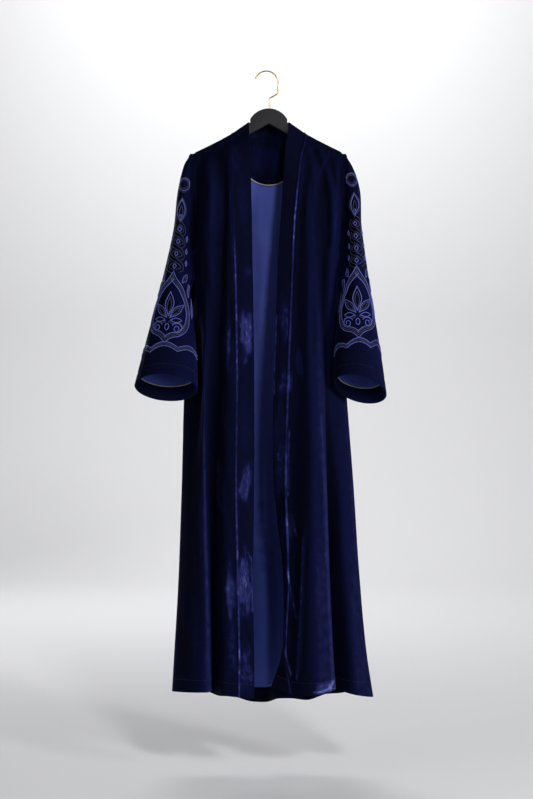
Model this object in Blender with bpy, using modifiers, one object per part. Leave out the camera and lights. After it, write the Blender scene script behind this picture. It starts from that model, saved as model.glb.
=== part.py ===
"""Open-front velvet abaya hanging on a flat coat hanger.

Metres, +Z up. The origin is the saddle of the hanger's hook, where it rests on a rod.
X runs to the viewer's right and the front of the garment faces -Y, so "left" is the viewer's left.

The cloth is built the way the garment is cut. Each panel is a sheet through fold lines that hang from
the shoulder to the hem, and each sheet gets its wall with a Solidify modifier. What lies on a panel,
such as lining and facing, is made from the same points, moved inwards.
"""
import math

import bmesh
import bpy
import numpy as np

MM = 0.001

# Cloth and seams
VELVET = 2.0 * MM
SATIN = 1.0 * MM
FACING = 1.5 * MM
GAP = 0.3 * MM
FLANGE = 4.0 * MM            # seam allowance that lies flat on each side of an armhole
SEAM_ALLOWANCE = 2.0 * MM    # flat stretch beside the band's seam

# Neck, shoulders and armholes
CENTRE_X = 1.7 * MM          # the hanger's middle, a little right of the saddle
SHOULDER_LINE = [            # distance from the hanger's middle, height of the cloth: mm
    (49.0, -123.5),
    (65.0, -136.5),
    (88.0, -151.5),
    (122.0, -170.0),
    (155.0, -186.5),
    (187.0, -202.0),
]
NECK_HALF_WIDTH = 93.7 * MM  # middle to the neck point, where band and shoulder seam meet
NECK_DEPTH = 36.0 * MM       # how far the back neck stands behind the hanger
NECK_SEAM_Z = -160.5 * MM    # seam of the neck band, middle of the back
NECK_EDGE_HALF_WIDTH = 49.0 * MM
NECK_EDGE_DEPTH = 31.0 * MM
NECK_EDGE_Z = -121.5 * MM    # free edge of the neck band, middle of the back
NECK_EASE = 140.0 * MM       # from here to the neck point the back comes away from the hanger
NECK_EASE_DEPTH = 7.0 * MM
NECK_SPREAD = 0.6            # and its turn widens by this much of its depth
NECK_SQUARENESS = 2.2        # 2 would be an ellipse in plan
NECK_HANG = [                # back panel below the neck seam: step in mm, how much it still leans
    (0.0, 1.0),
    (2.0, 1.0),
    (4.5, 0.3),
    (7.0, 0.0),
]
NECK_DOWN = np.array([0.0, 0.1, -1.0])
NECK_CORNER_SHIFT = (0.0, 1.2, 0.4)  # mm, the second point at the neck point, a mitre
NECK_SEAM_GAP = 0.5 * MM
ARMHOLE_X = 186.0 * MM
ARMHOLE_TOP_Z = -201.5 * MM
UNDERARM_Z = -436.0 * MM
ARMHOLE_HALF_DEPTH = 24.0 * MM
ARMHOLE_BLUNTNESS = 0.7      # power of the sine that shapes it, 1 would be pointed
ARMHOLE_TOP = [              # the first rows at the tip of the shoulder: drop, half depth, in mm
    (0.0, 0.15),
    (0.2, 2.2),
    (3.0, 4.6),
    (12.0, 7.0),
]
UNDERARM_EASE = (0.9, 0.45, 0.2)  # mm, opening of each side of the side seam, in the rows under the sleeve
UNDERARM_RECESS = 1.5 * MM   # the top of the side seam stands in from the armhole
SIDE_SEAM_LIES = (-0.25, 0.97)  # direction of its allowance: outwards, and away from the seam
NEAR = 1.0 * MM              # closer than this to the armhole is on it

# Band, facings and piping
BAND_RIB_HEIGHT = 1.8 * MM
BAND_RIB_HALF_WIDTH = 3.0 * MM
HEM_FACING_HEIGHT = 36.0 * MM
CUFF_FACING_DEPTH = 30.0 * MM
PIPING_RADIUS = 1.3 * MM
PIPING_ROOM = 2.4 * MM       # what the gap between lining and facing has beside the piping
NECK_FACING_RADIUS = 72.0 * MM
NECK_FACING_CENTRE_Z = -200.0 * MM
NECK_FACING_EASE = 2.1 * MM  # how far it hangs free of the back panel and its lining
NECK_FACING_ROWS = 6
NECK_FACING_COLUMNS = 13
NECK_FACING_ENDS = 8.0       # degrees that its round edge stops short of a half circle, at each end
NECK_FACING_DROP = 1.0 * MM  # its top edge lies this far under the neck seam

# Hanger and hook
HANGER_THICKNESS = 9.0 * MM
HANGER_EDGE = 3.0 * MM       # rounding of its edges
HANGER_SEAT = 0.45 * MM      # room under the cloth's wall
HANGER_ARM_END = 164.0 * MM
SHOULDER_SLOPE = 34.0        # degrees, the steepest part of the shoulder line, next to the neck
HANGER_END = [               # round end of an arm, from its last point: further out, lower, in mm
    (7.0, 9.0),
    (8.0, 18.0),
    (2.0, 27.0),
]
PLATE_HALF_WIDTH = 45.5 * MM
PLATE_TOP_Z = -89.5 * MM
PLATE_SIDE_Z = -116.0 * MM
PLATE_FILLET = 1.0 * MM      # small slope where the plate's side meets the arm
NOTCH_Z = -127.5 * MM        # point of the V under the plate
HOOK_WIRE_RADIUS = 1.8 * MM
HOOK_RADIUS = 28.0 * MM      # middle of the wire
HOOK_CENTRE = (-4.0 * MM, -25.9 * MM)
HOOK_TIP_ANGLE = 157.0       # degrees from +X
HOOK_CRANK_Z = -56.0 * MM
HOOK_BEND = 6.0 * MM
HOOK_STEM_X = 3.7 * MM
HOOK_STEM_DEPTH = 20.0 * MM  # how far the stem goes into the plate
HOOK_STEM_ROOM = 0.3 * MM
HOOK_OUT_BEND = (-30, -75)   # degrees that each bend of the crank turns through
HOOK_IN_BEND = (105, 180)

# Heights that the fold tables give, top to bottom, in mm. The hem has its own height for each fold.
LEVELS = {
    "chest": -320,
    "underarm": -436,
    "waist": -540,
    "hip": -756,
    "thigh": -1000,
    "knee": -1260,
    "calf": -1420,
}

# Fold tables, one row for each fold line from the shoulder seam to the hem, in mm:
# name, x at the shoulder,
# x at chest, underarm, waist, hip, thigh, knee, calf, hem,
# y at chest, underarm, waist, hip, thigh, knee, calf, hem,
# height of the hem.
LEFT_FRONT = [
    ("opening edge", -47,
     (-40, -38, -36, -33, -33, -36, -33, -33), (-50, -64, -75, -95, -105, -110, -112, -112), -1514),
    ("band middle", -70,
     (-65, -61, -59, -56, -57, -57, -54, -54), (-54, -68, -80, -100, -111, -117, -119, -119), -1511),
    ("band seam", -92,
     (-90, -85, -82, -79, -81, -76, -73, -74), (-56, -70, -82, -103, -113, -119, -121, -121), -1508),
    ("shining strip", -106,
     (-97, -98, -98, -98, -103, -107, -105, -105), (-53, -67, -79, -99, -107, -111, -112, -112), -1506),
    ("inner valley", -116,
     (-105, -112, -115, -120, -126, -132, -131, -130), (-46, -57, -65, -79, -83, -79, -75, -73), -1502),
    ("inner slope", -130,
     (-128, -134, -133, -136, -140, -138, -136, -135), (-58, -67, -72, -82, -84, -82, -80, -78), -1499),
    ("front edge", -150,
     (-151, -154, -151, -154, -152, -145, -141, -141), (-54, -62, -66, -92, -106, -110, -112, -112), -1498),
    ("side front", -165,
     (-164, -169, -168, -158, -177, -179, -181, -181), (-36, -38, -44, -45, -86, -98, -104, -106), -1500),
    ("side edge", -176,
     (-176, -178, -180, -202, -208, -217, -226, -231), (-26, -16, -9, -3, -40, -48, -52, -54), -1506),
    ("side seam", -186,
     (-186, -186, -194, -198, -203, -212, -221, -226), (-24, 0, 19, 23, 18, 16, 14, 14), -1512),
]
RIGHT_FRONT = [
    ("opening edge", 51,
     (34, 26, 22, 14, 14, 38, 31, 8), (-48, -62, -72, -92, -98, -76, -82, -98), -1488),
    ("band middle", 73,
     (53, 46, 41, 32, 30, 45, 36, 31), (-53, -67, -78, -98, -106, -96, -98, -110), -1496),
    ("band seam", 95,
     (72, 64, 60, 52, 46, 50, 45, 57), (-55, -69, -80, -102, -112, -114, -112, -119), -1503),
    ("crease valley", 103,
     (80, 74, 71, 67, 66, 63, 58, 62), (-52, -66, -77, -98, -104, -108, -112, -120), -1503),
    ("crease ridge", 110,
     (87, 84, 82, 81, 83, 76, 71, 70), (-54, -68, -80, -101, -112, -118, -121, -123), -1503),
    ("round of the fold", 127,
     (97, 98, 98, 100, 107, 109, 111, 113), (-58, -72, -85, -108, -122, -132, -137, -139), -1502),
    ("front edge", 144,
     (108, 111, 116, 124, 135, 143, 150, 155), (-54, -66, -78, -98, -112, -120, -124, -126), -1490),
    ("deep valley", 153,
     (130, 132, 131, 137, 143, 152, 160, 165), (-40, -46, -50, -56, -60, -64, -68, -70), -1500),
    ("side front", 164,
     (162, 155, 150, 148, 169, 186, 198, 205), (-42, -48, -52, -46, -62, -78, -86, -90), -1508),
    ("side edge", 176,
     (176, 178, 170, 188, 206, 223, 238, 253), (-26, -16, -14, -3, -34, -46, -54, -58), -1519),
    ("side seam", 186,
     (186, 186, 182, 187, 200, 217, 232, 247), (-24, 0, 19, 25, 20, 16, 14, 14), -1522),
]
BACK = [
    ("left side seam", -186,
     (-186, -186, -194, -198, -203, -212, -221, -226), (24, 0, 19, 23, 18, 16, 14, 14), -1512),
    ("left side back", -171,
     (-174, -176, -177, -183, -190, -200, -209, -213), (26, 22, 37, 46, 52, 60, 64, 66), -1516),
    ("left outer ridge", -145,
     (-146, -143, -138, -146, -152, -160, -166, -168), (33, 40, 50, 64, 78, 92, 98, 100), -1528),
    ("left outer valley", -118,
     (-116, -112, -108, -110, -112, -116, -120, -121), (30, 36, 42, 50, 56, 60, 62, 62), -1540),
    ("left neck ridge", -92,
     (-88, -84, -80, -80, -82, -84, -86, -87), (33, 42, 52, 68, 82, 94, 100, 102), -1548),
    ("left inner valley", -58,
     (-55, -51, -47, -46, -45, -44, -43, -42), (31, 38, 45, 54, 58, 58, 56, 54), -1552),
    ("middle valley", -22,
     (-21, -20, -18, -14, -10, -6, -4, -3), (33, 40, 48, 58, 60, 58, 54, 52), -1553),
    ("middle ridge", 14,
     (14, 14, 14, 15, 17, 19, 21, 23), (34, 42, 52, 68, 82, 92, 96, 98), -1554),
    ("right inner ridge", 52,
     (50, 48, 46, 48, 52, 58, 62, 64), (33, 40, 50, 66, 80, 92, 98, 100), -1554),
    ("right inner valley", 95.4,
     (84, 78, 76, 80, 86, 92, 98, 100), (31, 36, 42, 50, 56, 60, 62, 62), -1550),
    ("right neck ridge", 116,
     (113, 108, 104, 112, 120, 130, 138, 142), (33, 42, 52, 66, 82, 94, 100, 102), -1544),
    ("right outer valley", 143,
     (141, 136, 132, 140, 150, 164, 174, 180), (31, 36, 42, 52, 58, 64, 66, 68), -1534),
    ("right side back", 171,
     (173, 173, 171, 173, 184, 201, 214, 224), (26, 22, 37, 46, 54, 62, 66, 68), -1526),
    ("right side seam", 186,
     (186, 186, 182, 187, 200, 217, 232, 247), (24, 0, 19, 25, 20, 16, 14, 14), -1522),
]

# Sleeve tables, one row for each section from the armhole to the cuff, in mm:
# name, outer x, outer z, inner x, inner z, middle y, half depth, rise of the near side.
LEFT_SLEEVE = [
    ("cap", -203, -226, -195, -445, -4, 36, 0),
    ("upper arm", -219, -290, -197, -466, -8, 46, 0),
    ("biceps", -229, -385, -194, -505, -14, 52, 2),
    ("elbow", -253, -500, -187, -568, -30, 54, 6),
    ("forearm", -280, -612, -178, -645, -51, 52, 14),
    ("lower arm", -304, -708, -171, -712, -70, 49, 24),
    ("cuff", -319, -770, -169, -778, -82, 46, 32),
]
RIGHT_SLEEVE = [
    ("cap", 202, -226, 195, -445, -4, 36, 0),
    ("upper arm", 222, -282, 195, -466, -7, 47, 0),
    ("biceps", 227, -378, 191, -505, -15, 53, 2),
    ("elbow", 241, -492, 176, -566, -34, 53, 6),
    ("forearm", 257, -605, 165, -642, -54, 51, 14),
    ("lower arm", 272, -706, 160, -704, -72, 49, 24),
    ("cuff", 283, -792, 158, -762, -84, 46, 32),
]

# How finely the sheets are divided
SIDES_OF_SLEEVE = 20
SLEEVE_PLACES = [0, 0.5, 1, 1.5, 2, 3, 3.5, 4, 4.5, 5, 6]  # rings above the cuff, in rows of its table
SHOULDER_TURN = [            # how cloth turns over the hanger: distance forward, drop, in mm
    (GAP / 2 / MM, 0.0),
    (2.5, 0.0),
    (6.4, 2.6),
    (8.6, 12.0),
]
YOKE_DROP = 50.0             # mm below the shoulder
YOKE_SHARE = 0.42            # how far the yoke has gone from the shoulder's shape to the chest's
ROW_MEANS = {"turn": -190.0, "yoke": -245.0, "hem": -1515.0}  # mean heights of the rows with no level, in mm
CORNER_STEP = 0.12            # the closer step at a corner, as a share of the way to the next fold line
DENSE = 400                   # places that a curve is read at, where it is turned round
HEM_FACING_ROW = -1480.0      # mean height of the row where the hem facing ends, in mm
BODY_ROWS = [                 # heights of the rows below the chest
    -360, -400, -436, -485, -540, -610, -680, -756, -835, -915, -1000, -1085, -1170, -1260, -1340, -1420,
]


def srgb(code):
    """Linear colour of an sRGB hex value."""
    parts = [int(code[i:i + 2], 16) / 255 for i in (0, 2, 4)]
    return tuple(p / 12.92 if p <= 0.04045 else ((p + 0.055) / 1.055) ** 2.4 for p in parts) + (1.0,)


def make_material(name, code, roughness, metallic=0.0):
    material = bpy.data.materials.new(name)
    material.use_nodes = True
    shader = material.node_tree.nodes["Principled BSDF"]
    shader.inputs["Base Color"].default_value = srgb(code)
    shader.inputs["Roughness"].default_value = roughness
    shader.inputs["Metallic"].default_value = metallic
    return material


def smooth_through(knots, values, places):
    """Cubic curve through values at the knots, with slopes taken from the neighbours."""
    knots = np.asarray(knots, float)
    values = np.asarray(values, float)
    places = np.asarray(places, float)
    slopes = np.gradient(values, knots, axis=0)
    low = np.clip(np.searchsorted(knots, places, side="right") - 1, 0, len(knots) - 2)
    span = knots[low + 1] - knots[low]
    s = (places - knots[low]) / span
    shape = (-1,) + (1,) * (values.ndim - 1)
    s, span = s.reshape(shape), span.reshape(shape)
    return ((2 * s**3 - 3 * s**2 + 1) * values[low] + (s**3 - 2 * s**2 + s) * span * slopes[low]
            + (3 * s**2 - 2 * s**3) * values[low + 1] + (s**3 - s**2) * span * slopes[low + 1])


def shoulder_z(x):
    """Height of the shoulder line, in mm, at x in mm."""
    distance, height = zip(*SHOULDER_LINE)
    return np.interp(np.abs(x - CENTRE_X / MM), distance, height)


def neck_lines(x):
    """Seam and free edge of the neck band, in mm, at places x on the seam: rounded squares in plan."""
    part = np.clip((x - CENTRE_X / MM) / (NECK_HALF_WIDTH / MM), -1, 1)
    round_square = (1 - np.abs(part) ** NECK_SQUARENESS) ** (1 / NECK_SQUARENESS)
    seam_rise = shoulder_z(CENTRE_X / MM + NECK_HALF_WIDTH / MM) - NECK_SEAM_Z / MM
    edge_rise = shoulder_z(CENTRE_X / MM + NECK_EDGE_HALF_WIDTH / MM) - NECK_EDGE_Z / MM
    seam = np.stack([x, NECK_DEPTH / MM * round_square, NECK_SEAM_Z / MM + seam_rise * part**2], axis=1)
    edge = np.stack([CENTRE_X / MM + NECK_EDGE_HALF_WIDTH / MM * part, NECK_EDGE_DEPTH / MM * round_square,
                     NECK_EDGE_Z / MM + edge_rise * part**2], axis=1)
    return seam, edge


def unit(vectors):
    return vectors / np.linalg.norm(vectors, axis=-1, keepdims=True)


def armhole_depth(z):
    """Half depth of the armhole, in mm, at height z in mm: blunt at the shoulder and the underarm."""
    part = np.clip((ARMHOLE_TOP_Z / MM - z) / (ARMHOLE_TOP_Z / MM - UNDERARM_Z / MM), 0, 1)
    return ARMHOLE_HALF_DEPTH / MM * np.sin(np.pi * part) ** ARMHOLE_BLUNTNESS


def level_points(table):
    """The table's points at each level and at the hem, in mm: (level, fold, xyz)."""
    heights = list(LEVELS.values())
    points = np.zeros((len(heights) + 1, len(table), 3))
    for fold, (_, _, across, forward, hem_z) in enumerate(table):
        points[:, fold, 0] = across
        points[:, fold, 1] = forward
        points[:, fold, 2] = heights + [hem_z]
    return points


def fold_knots(table):
    """Place of each fold line across the sheet: mean distance from the first."""
    points = level_points(table)
    steps = np.linalg.norm(np.diff(points[:, :, :2], axis=1), axis=2).mean(axis=0)
    return np.concatenate([[0.0], np.cumsum(steps)])


def turn_over_hanger(top_x, side):
    """The sheet's first rows, in mm: over the hanger's arms, or down from the neck band's seam."""
    from_middle = np.abs(top_x - CENTRE_X / MM)
    top_z = shoulder_z(top_x)
    ease = np.clip((NECK_EASE / MM - from_middle) / (NECK_EASE - NECK_HALF_WIDTH) * MM, 0, 1) * (side > 0)
    rows = []
    for forward, drop in SHOULDER_TURN:
        y = side * (forward + NECK_EASE_DEPTH / MM * ease**2 * drop / SHOULDER_TURN[-1][1])
        spread = NECK_SPREAD * ease**2 * forward
        rows.append(np.stack([top_x + np.sign(top_x) * spread, y, top_z - drop - 0.5 * spread], axis=1))
    in_neck = (from_middle < NECK_HALF_WIDTH / MM - 0.01) & (side > 0)
    seam, edge = neck_lines(top_x)
    lean = unit(seam - edge)
    hanging = []
    for step, leaning in NECK_HANG:
        above = hanging[-1] if hanging else seam
        hanging.append(above + step * unit(leaning * lean + (1 - leaning) * NECK_DOWN))
    corner = np.abs(from_middle - NECK_HALF_WIDTH / MM) < 0.01
    rows[1] = np.where((corner & (side > 0))[:, None], hanging[1] + np.array(NECK_CORNER_SHIFT), rows[1])
    return [np.where(in_neck[:, None], neck, row) for neck, row in zip(hanging, rows)]


def body_sheet(table, side, places, heights):
    """Points of a body sheet, in mm.

    side is -1 for a front and 1 for the back, places are positions across the sheet, and heights are
    the rows below the chest. The rows above it turn over the hanger, and the last row is the hem.
    """
    knots = fold_knots(table)
    points = smooth_through(knots, level_points(table).transpose(1, 0, 2), places).transpose(1, 0, 2)
    top_x = smooth_through(knots, [row[1] for row in table], places)
    rows = turn_over_hanger(top_x, side)
    chest = points[0]
    yoke_x = (1 - YOKE_SHARE) * top_x + YOKE_SHARE * chest[:, 0]
    yoke_y = (1 - YOKE_SHARE) * rows[-1][:, 1] + YOKE_SHARE * chest[:, 1]
    rows.append(np.stack([yoke_x, yoke_y, rows[0][:, 2] - YOKE_DROP], axis=1))
    turned = len(SHOULDER_TURN)
    upper = np.stack(rows[turned - 1:] + list(points))
    known = -np.array([ROW_MEANS["turn"], ROW_MEANS["yoke"], *LEVELS.values(), ROW_MEANS["hem"]])
    wanted = -np.array([ROW_MEANS["yoke"], LEVELS["chest"], *heights, ROW_MEANS["hem"]])
    sheet = np.concatenate([np.stack(rows[:turned]), smooth_through(known, upper, wanted)])
    from_underarm = known >= -LEVELS["underarm"]
    below = wanted >= -LEVELS["underarm"]
    seams = smooth_through(known[from_underarm], points[1:], wanted[below])
    return shape_armhole(sheet, seams, side)


def shape_armhole(sheet, seams, side):
    """Bring the side columns of a sheet onto the armhole, with a flat seam allowance before it.

    seams are the sheet's points from the underarm down, worked out without those above it, so that
    front and back have the same side seam.
    """
    for column, neighbour in ((0, 1), (-1, -2)):
        if abs(abs(sheet[0, column, 0]) - ARMHOLE_X / MM) > NEAR / MM:
            continue
        outward = math.copysign(1.0, sheet[0, column, 0])
        above = sheet[:, column, 2] > (UNDERARM_Z + NEAR) / MM
        z = sheet[above, column, 2]
        drops, depths = np.array(ARMHOLE_TOP).T
        z[:len(drops)] = ARMHOLE_TOP_Z / MM - drops
        depth = armhole_depth(z)
        depth[:len(drops)] = depths
        sheet[above, column] = np.stack([np.full_like(z, outward * ARMHOLE_X / MM), side * depth, z], axis=1)
        sheet[above, neighbour] = sheet[above, column] - np.array([outward * FLANGE / MM, 0, 0])
        seam = ~above
        underarm = np.argmax(seam)
        sheet[seam, column] = seams[:, column]
        sheet[seam, column, 1] += side * GAP / MM / 2
        for row, opening in enumerate(UNDERARM_EASE):
            sheet[underarm + row, column, 1] += side * opening
        sheet[underarm, column, 0] -= outward * UNDERARM_RECESS / MM
        along_seam = np.array([outward * SIDE_SEAM_LIES[0], SIDE_SEAM_LIES[1], 0]) * FLANGE / MM
        sheet[seam, neighbour] = sheet[seam, column] + side * along_seam
        sheet[underarm, neighbour, 0] = sheet[underarm, column, 0]
    return sheet


def sheet_faces(rows, columns, around):
    """Triangles of a grid of points, all diagonals running the same way."""
    across = columns if around else columns - 1
    row, column = np.meshgrid(np.arange(rows - 1), np.arange(across), indexing="ij")
    beside = (column + 1) % columns
    a, b = row * columns + column, row * columns + beside
    c, d = (row + 1) * columns + beside, (row + 1) * columns + column
    return np.concatenate([np.stack([a, c, b], -1).reshape(-1, 3), np.stack([a, d, c], -1).reshape(-1, 3)])


def sheet_normals(sheet, around=False):
    """Unit normals at the points of a grid: its triangles' normals, weighted by their corner angles."""
    points = sheet.reshape(-1, 3)
    faces = sheet_faces(*sheet.shape[:2], around)
    corners = points[faces]
    face_normals = unit(np.cross(corners[:, 1] - corners[:, 0], corners[:, 2] - corners[:, 0]))
    normals = np.zeros_like(points)
    for corner in range(3):
        one = unit(corners[:, (corner + 1) % 3] - corners[:, corner])
        other = unit(corners[:, (corner + 2) % 3] - corners[:, corner])
        angle = np.arccos(np.clip((one * other).sum(axis=1), -1, 1))
        np.add.at(normals, faces[:, corner], face_normals * angle[:, None])
    return unit(normals).reshape(sheet.shape)


def moved_in(sheet, distance, around=False):
    """The sheet moved towards the hollow by a distance in metres. Points are in mm."""
    return sheet - sheet_normals(sheet, around) * distance / MM


def add_object(name, mesh, material):
    obj = bpy.data.objects.new(name, mesh)
    obj.data.materials.append(material)
    PARTS.objects.link(obj)
    return obj


def make_sheet(name, sheet, wall, material, around=False):
    """Object with a wall of cloth about a grid of points in mm."""
    faces = sheet_faces(*sheet.shape[:2], around)
    mesh = bpy.data.meshes.new(name)
    mesh.from_pydata((sheet.reshape(-1, 3) * MM).tolist(), [], faces.tolist())
    mesh.update()
    mesh.shade_smooth()
    obj = add_object(name, mesh, material)
    solidify = obj.modifiers.new("wall", "SOLIDIFY")
    solidify.thickness = wall
    solidify.offset = 0.0
    solidify.use_rim = True
    return obj


def make_wire(name, points, radius, material, cyclic=False, sides=2):
    """Round wire or piping through points in mm."""
    curve = bpy.data.curves.new(name, "CURVE")
    curve.dimensions = "3D"
    curve.bevel_depth = radius
    curve.bevel_resolution = sides
    curve.use_fill_caps = not cyclic
    spline = curve.splines.new("POLY")
    spline.points.add(len(points) - 1)
    for target, point in zip(spline.points, points):
        target.co = (*(np.asarray(point) * MM), 1.0)
    spline.use_cyclic_u = cyclic
    return add_object(name, curve, material)


def places_between(knots, first, last, corner_folds=()):
    """Positions across a sheet from one fold line to another, with a closer step after a corner."""
    places = [knots[first]]
    for fold in range(first, last):
        span = knots[fold + 1] - knots[fold]
        steps = [0.5, 1.0]
        if fold in corner_folds:
            steps = [CORNER_STEP, 0.5, 1.0]
        if fold + 1 in corner_folds:
            steps = [0.5, 1.0 - CORNER_STEP, 1.0]
        places += [knots[fold] + span * step for step in steps]
    return np.array(places)


def fold_number(table, name):
    return [row[0] for row in table].index(name)


def make_front(word, table):
    """Front panel and its band, which share the sheet and part at the band's seam."""
    knots = fold_knots(table)
    seam = fold_number(table, "band seam")
    toward_seam = 1 if table[0][1] > 0 else -1
    allowance = SEAM_ALLOWANCE / MM
    rib = knots[seam] - allowance - BAND_RIB_HALF_WIDTH / MM
    foot = rib - BAND_RIB_HALF_WIDTH / MM
    band_places = places_between(knots, 0, seam)
    band_places = band_places[band_places < foot - BAND_RIB_HALF_WIDTH / MM]
    band_places = np.append(band_places, [foot, rib, knots[seam] - allowance, knots[seam]])
    panel_places = places_between(knots, seam, len(table) - 1)
    panel_places = np.insert(panel_places, 1, knots[seam] + allowance)
    band = body_sheet(table, -1, band_places, BODY_ROWS)
    panel = body_sheet(table, -1, panel_places, BODY_ROWS)
    along = unit(panel[:, 1] - band[:, -2])
    band[:, -2] = panel[:, 0] - along * allowance
    panel[:, 1] = panel[:, 0] + along * allowance
    band[:, -1] -= along * GAP / MM / 2
    panel[:, 0] += along * GAP / MM / 2
    if toward_seam < 0:
        band, panel = band[:, ::-1], panel[:, ::-1]
    rib_column = 2 if toward_seam < 0 else -3  # third from the seam
    band[:, rib_column] += sheet_normals(band)[:, rib_column] * BAND_RIB_HEIGHT / MM
    make_sheet("front_" + word, panel, VELVET, VELVET_CLOTH)
    make_sheet("band_" + word, band, VELVET, BAND_CLOTH)
    return band


def make_back():
    """Back panel, and inside it the lining and the hem facing."""
    knots = fold_knots(BACK)
    corners = [fold_number(BACK, "left neck ridge"), fold_number(BACK, "right inner valley")]
    places = places_between(knots, 0, len(BACK) - 1, corners)
    hem = smooth_through(knots, [row[4] for row in BACK], places)
    sheet = body_sheet(BACK, 1, places, BODY_ROWS + [HEM_FACING_ROW])
    sheet[-2, :, 2] = hem + HEM_FACING_HEIGHT / MM
    sheet = sheet[:, ::-1]
    make_sheet("back_panel", sheet, VELVET, VELVET_CLOTH)

    lining = moved_in(sheet, VELVET / 2 + GAP + SATIN / 2)[len(SHOULDER_TURN) - 1:, 1:-1]
    lining[-2, :, 2] += GAP / MM
    make_sheet("back_lining", lining[:-1], SATIN, LINING_CLOTH)
    facing = moved_in(sheet, VELVET / 2 + GAP + FACING / 2)[-2:, 1:-1]
    make_sheet("hem_facing", facing, FACING, VELVET_CLOTH)
    return sheet, places[::-1]


def make_neck_band(back_sheet, places):
    """Strip round the back neck, standing on the back panel's neck seam."""
    knots = fold_knots(BACK)
    first = knots[fold_number(BACK, "left neck ridge")]
    last = knots[fold_number(BACK, "right inner valley")]
    chosen = (places > first - 0.01) & (places < last + 0.01)
    seam, edge = neck_lines(back_sheet[0, chosen, 0])
    seam[[0, -1], 1] = edge[[0, -1], 1] = 2 * GAP / MM
    seam -= unit(seam - edge) * NECK_SEAM_GAP / MM
    make_sheet("neck_band", np.stack([edge, (seam + edge) / 2, seam]), VELVET, BAND_CLOTH)


def make_neck_facing():
    """Half-moon facing inside the back neck, with piping on its round edge."""
    knots = fold_knots(BACK)
    half = NECK_FACING_RADIUS / MM
    dense = np.linspace(knots[0], knots[-1], DENSE)
    yoke_x = body_sheet(BACK, 1, dense, BODY_ROWS)[len(SHOULDER_TURN), :, 0]
    angles = np.radians(np.linspace(180 - NECK_FACING_ENDS, NECK_FACING_ENDS, NECK_FACING_COLUMNS))
    places = np.interp(CENTRE_X / MM + half * np.cos(angles), yoke_x, dense)
    back = body_sheet(BACK, 1, places, BODY_ROWS)
    inside = moved_in(back[:, ::-1], VELVET / 2 + NECK_FACING_EASE + SATIN + FACING / 2)[:, ::-1]
    arc_z = NECK_FACING_CENTRE_Z / MM - half * np.sin(angles)
    facing = np.zeros((NECK_FACING_ROWS, NECK_FACING_COLUMNS, 3))
    for column in range(NECK_FACING_COLUMNS):
        top, low = inside[0, column, 2] - NECK_FACING_DROP / MM, arc_z[column]
        facing[:, column, 2] = np.linspace(top, low, NECK_FACING_ROWS)
        drops = -inside[1:, column, 2]
        for axis in (0, 1):
            facing[:, column, axis] = np.interp(-facing[:, column, 2], drops, inside[1:, column, axis])
    make_sheet("neck_facing", facing[:, ::-1], FACING, VELVET_CLOTH)
    outward = np.stack([np.cos(angles), np.zeros(NECK_FACING_COLUMNS), -np.sin(angles)], axis=1)
    cord = facing[-1] + outward * (PIPING_RADIUS + GAP) / MM
    cord[:, 1] -= (PIPING_RADIUS - FACING / 2 + GAP) / MM
    make_wire("neck_piping", cord, PIPING_RADIUS, PIPING_CLOTH, sides=1)


def sleeve_rings(table, outward, places):
    """Rings of a sleeve in mm, from the armhole (0) to the cuff (the number of rows)."""
    top, low = ARMHOLE_TOP_Z / MM, UNDERARM_Z / MM
    start = ARMHOLE_X / MM + GAP / MM
    rows = [(outward * start, top, outward * start, low, 0, ARMHOLE_HALF_DEPTH / MM, 0)]
    rows += [row[1:] for row in table]
    values = smooth_through(np.arange(len(rows)), np.array(rows, float), places)
    angle = np.linspace(0, 2 * np.pi, SIDES_OF_SLEEVE, endpoint=False)
    flat = np.sin(np.pi * (1 - np.cos(angle)) / 2) ** ARMHOLE_BLUNTNESS * np.sign(np.sin(angle))
    blend = np.clip(1 - np.asarray(places) / 2.0, 0, 1)[:, None]
    depth = blend * flat + (1 - blend) * np.sin(angle)
    outer_x, outer_z, inner_x, inner_z, middle_y, half_depth, rise = values.T[:, :, None]
    turn = np.cos(angle)[None, :]
    rings = np.stack([
        (outer_x + inner_x) / 2 + (outer_x - inner_x) / 2 * turn,
        middle_y - half_depth * depth,
        (outer_z + inner_z) / 2 + (outer_z - inner_z) / 2 * turn + rise * depth,
    ], axis=2)
    return rings


def make_sleeve(word, table, outward):
    """Sleeve, its lining, its cuff facing and the piping between them."""
    last = len(table)
    cuff = sleeve_rings(table, outward, [last - 1, last])
    length = np.linalg.norm(cuff[1] - cuff[0], axis=1).mean() * MM
    facing_top = last - CUFF_FACING_DEPTH / length
    step = (2 * PIPING_RADIUS + PIPING_ROOM) / length
    lining_end = facing_top - step
    places = np.array(SLEEVE_PLACES + [lining_end, facing_top, last])
    rings = sleeve_rings(table, outward, places)
    allowance = rings[0] + np.array([outward * FLANGE / MM, 0, 0])
    rings = np.concatenate([rings[:1], allowance[None], rings[1:]])
    piping = sleeve_rings(table, outward, [facing_top - step / 2])
    around = slice(None, None, -1) if outward > 0 else slice(None)
    rings, piping = rings[:, around], piping[:, around]
    make_sheet("sleeve_" + word, rings, VELVET, VELVET_CLOTH, around=True)
    lining = moved_in(rings, VELVET / 2 + GAP + SATIN / 2, around=True)[2:-2]
    make_sheet("sleeve_lining_" + word, lining, SATIN, LINING_CLOTH, around=True)
    facing = moved_in(rings, VELVET / 2 + GAP + FACING / 2, around=True)[-2:]
    make_sheet("cuff_facing_" + word, facing, FACING, VELVET_CLOTH, around=True)
    near = np.concatenate([rings[-3:-2], piping, rings[-2:-1]])
    cord = moved_in(near, VELVET / 2 + GAP + PIPING_RADIUS, around=True)[1]
    make_wire("cuff_piping_" + word, cord, PIPING_RADIUS, PIPING_CLOTH, cyclic=True, sides=1)


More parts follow.
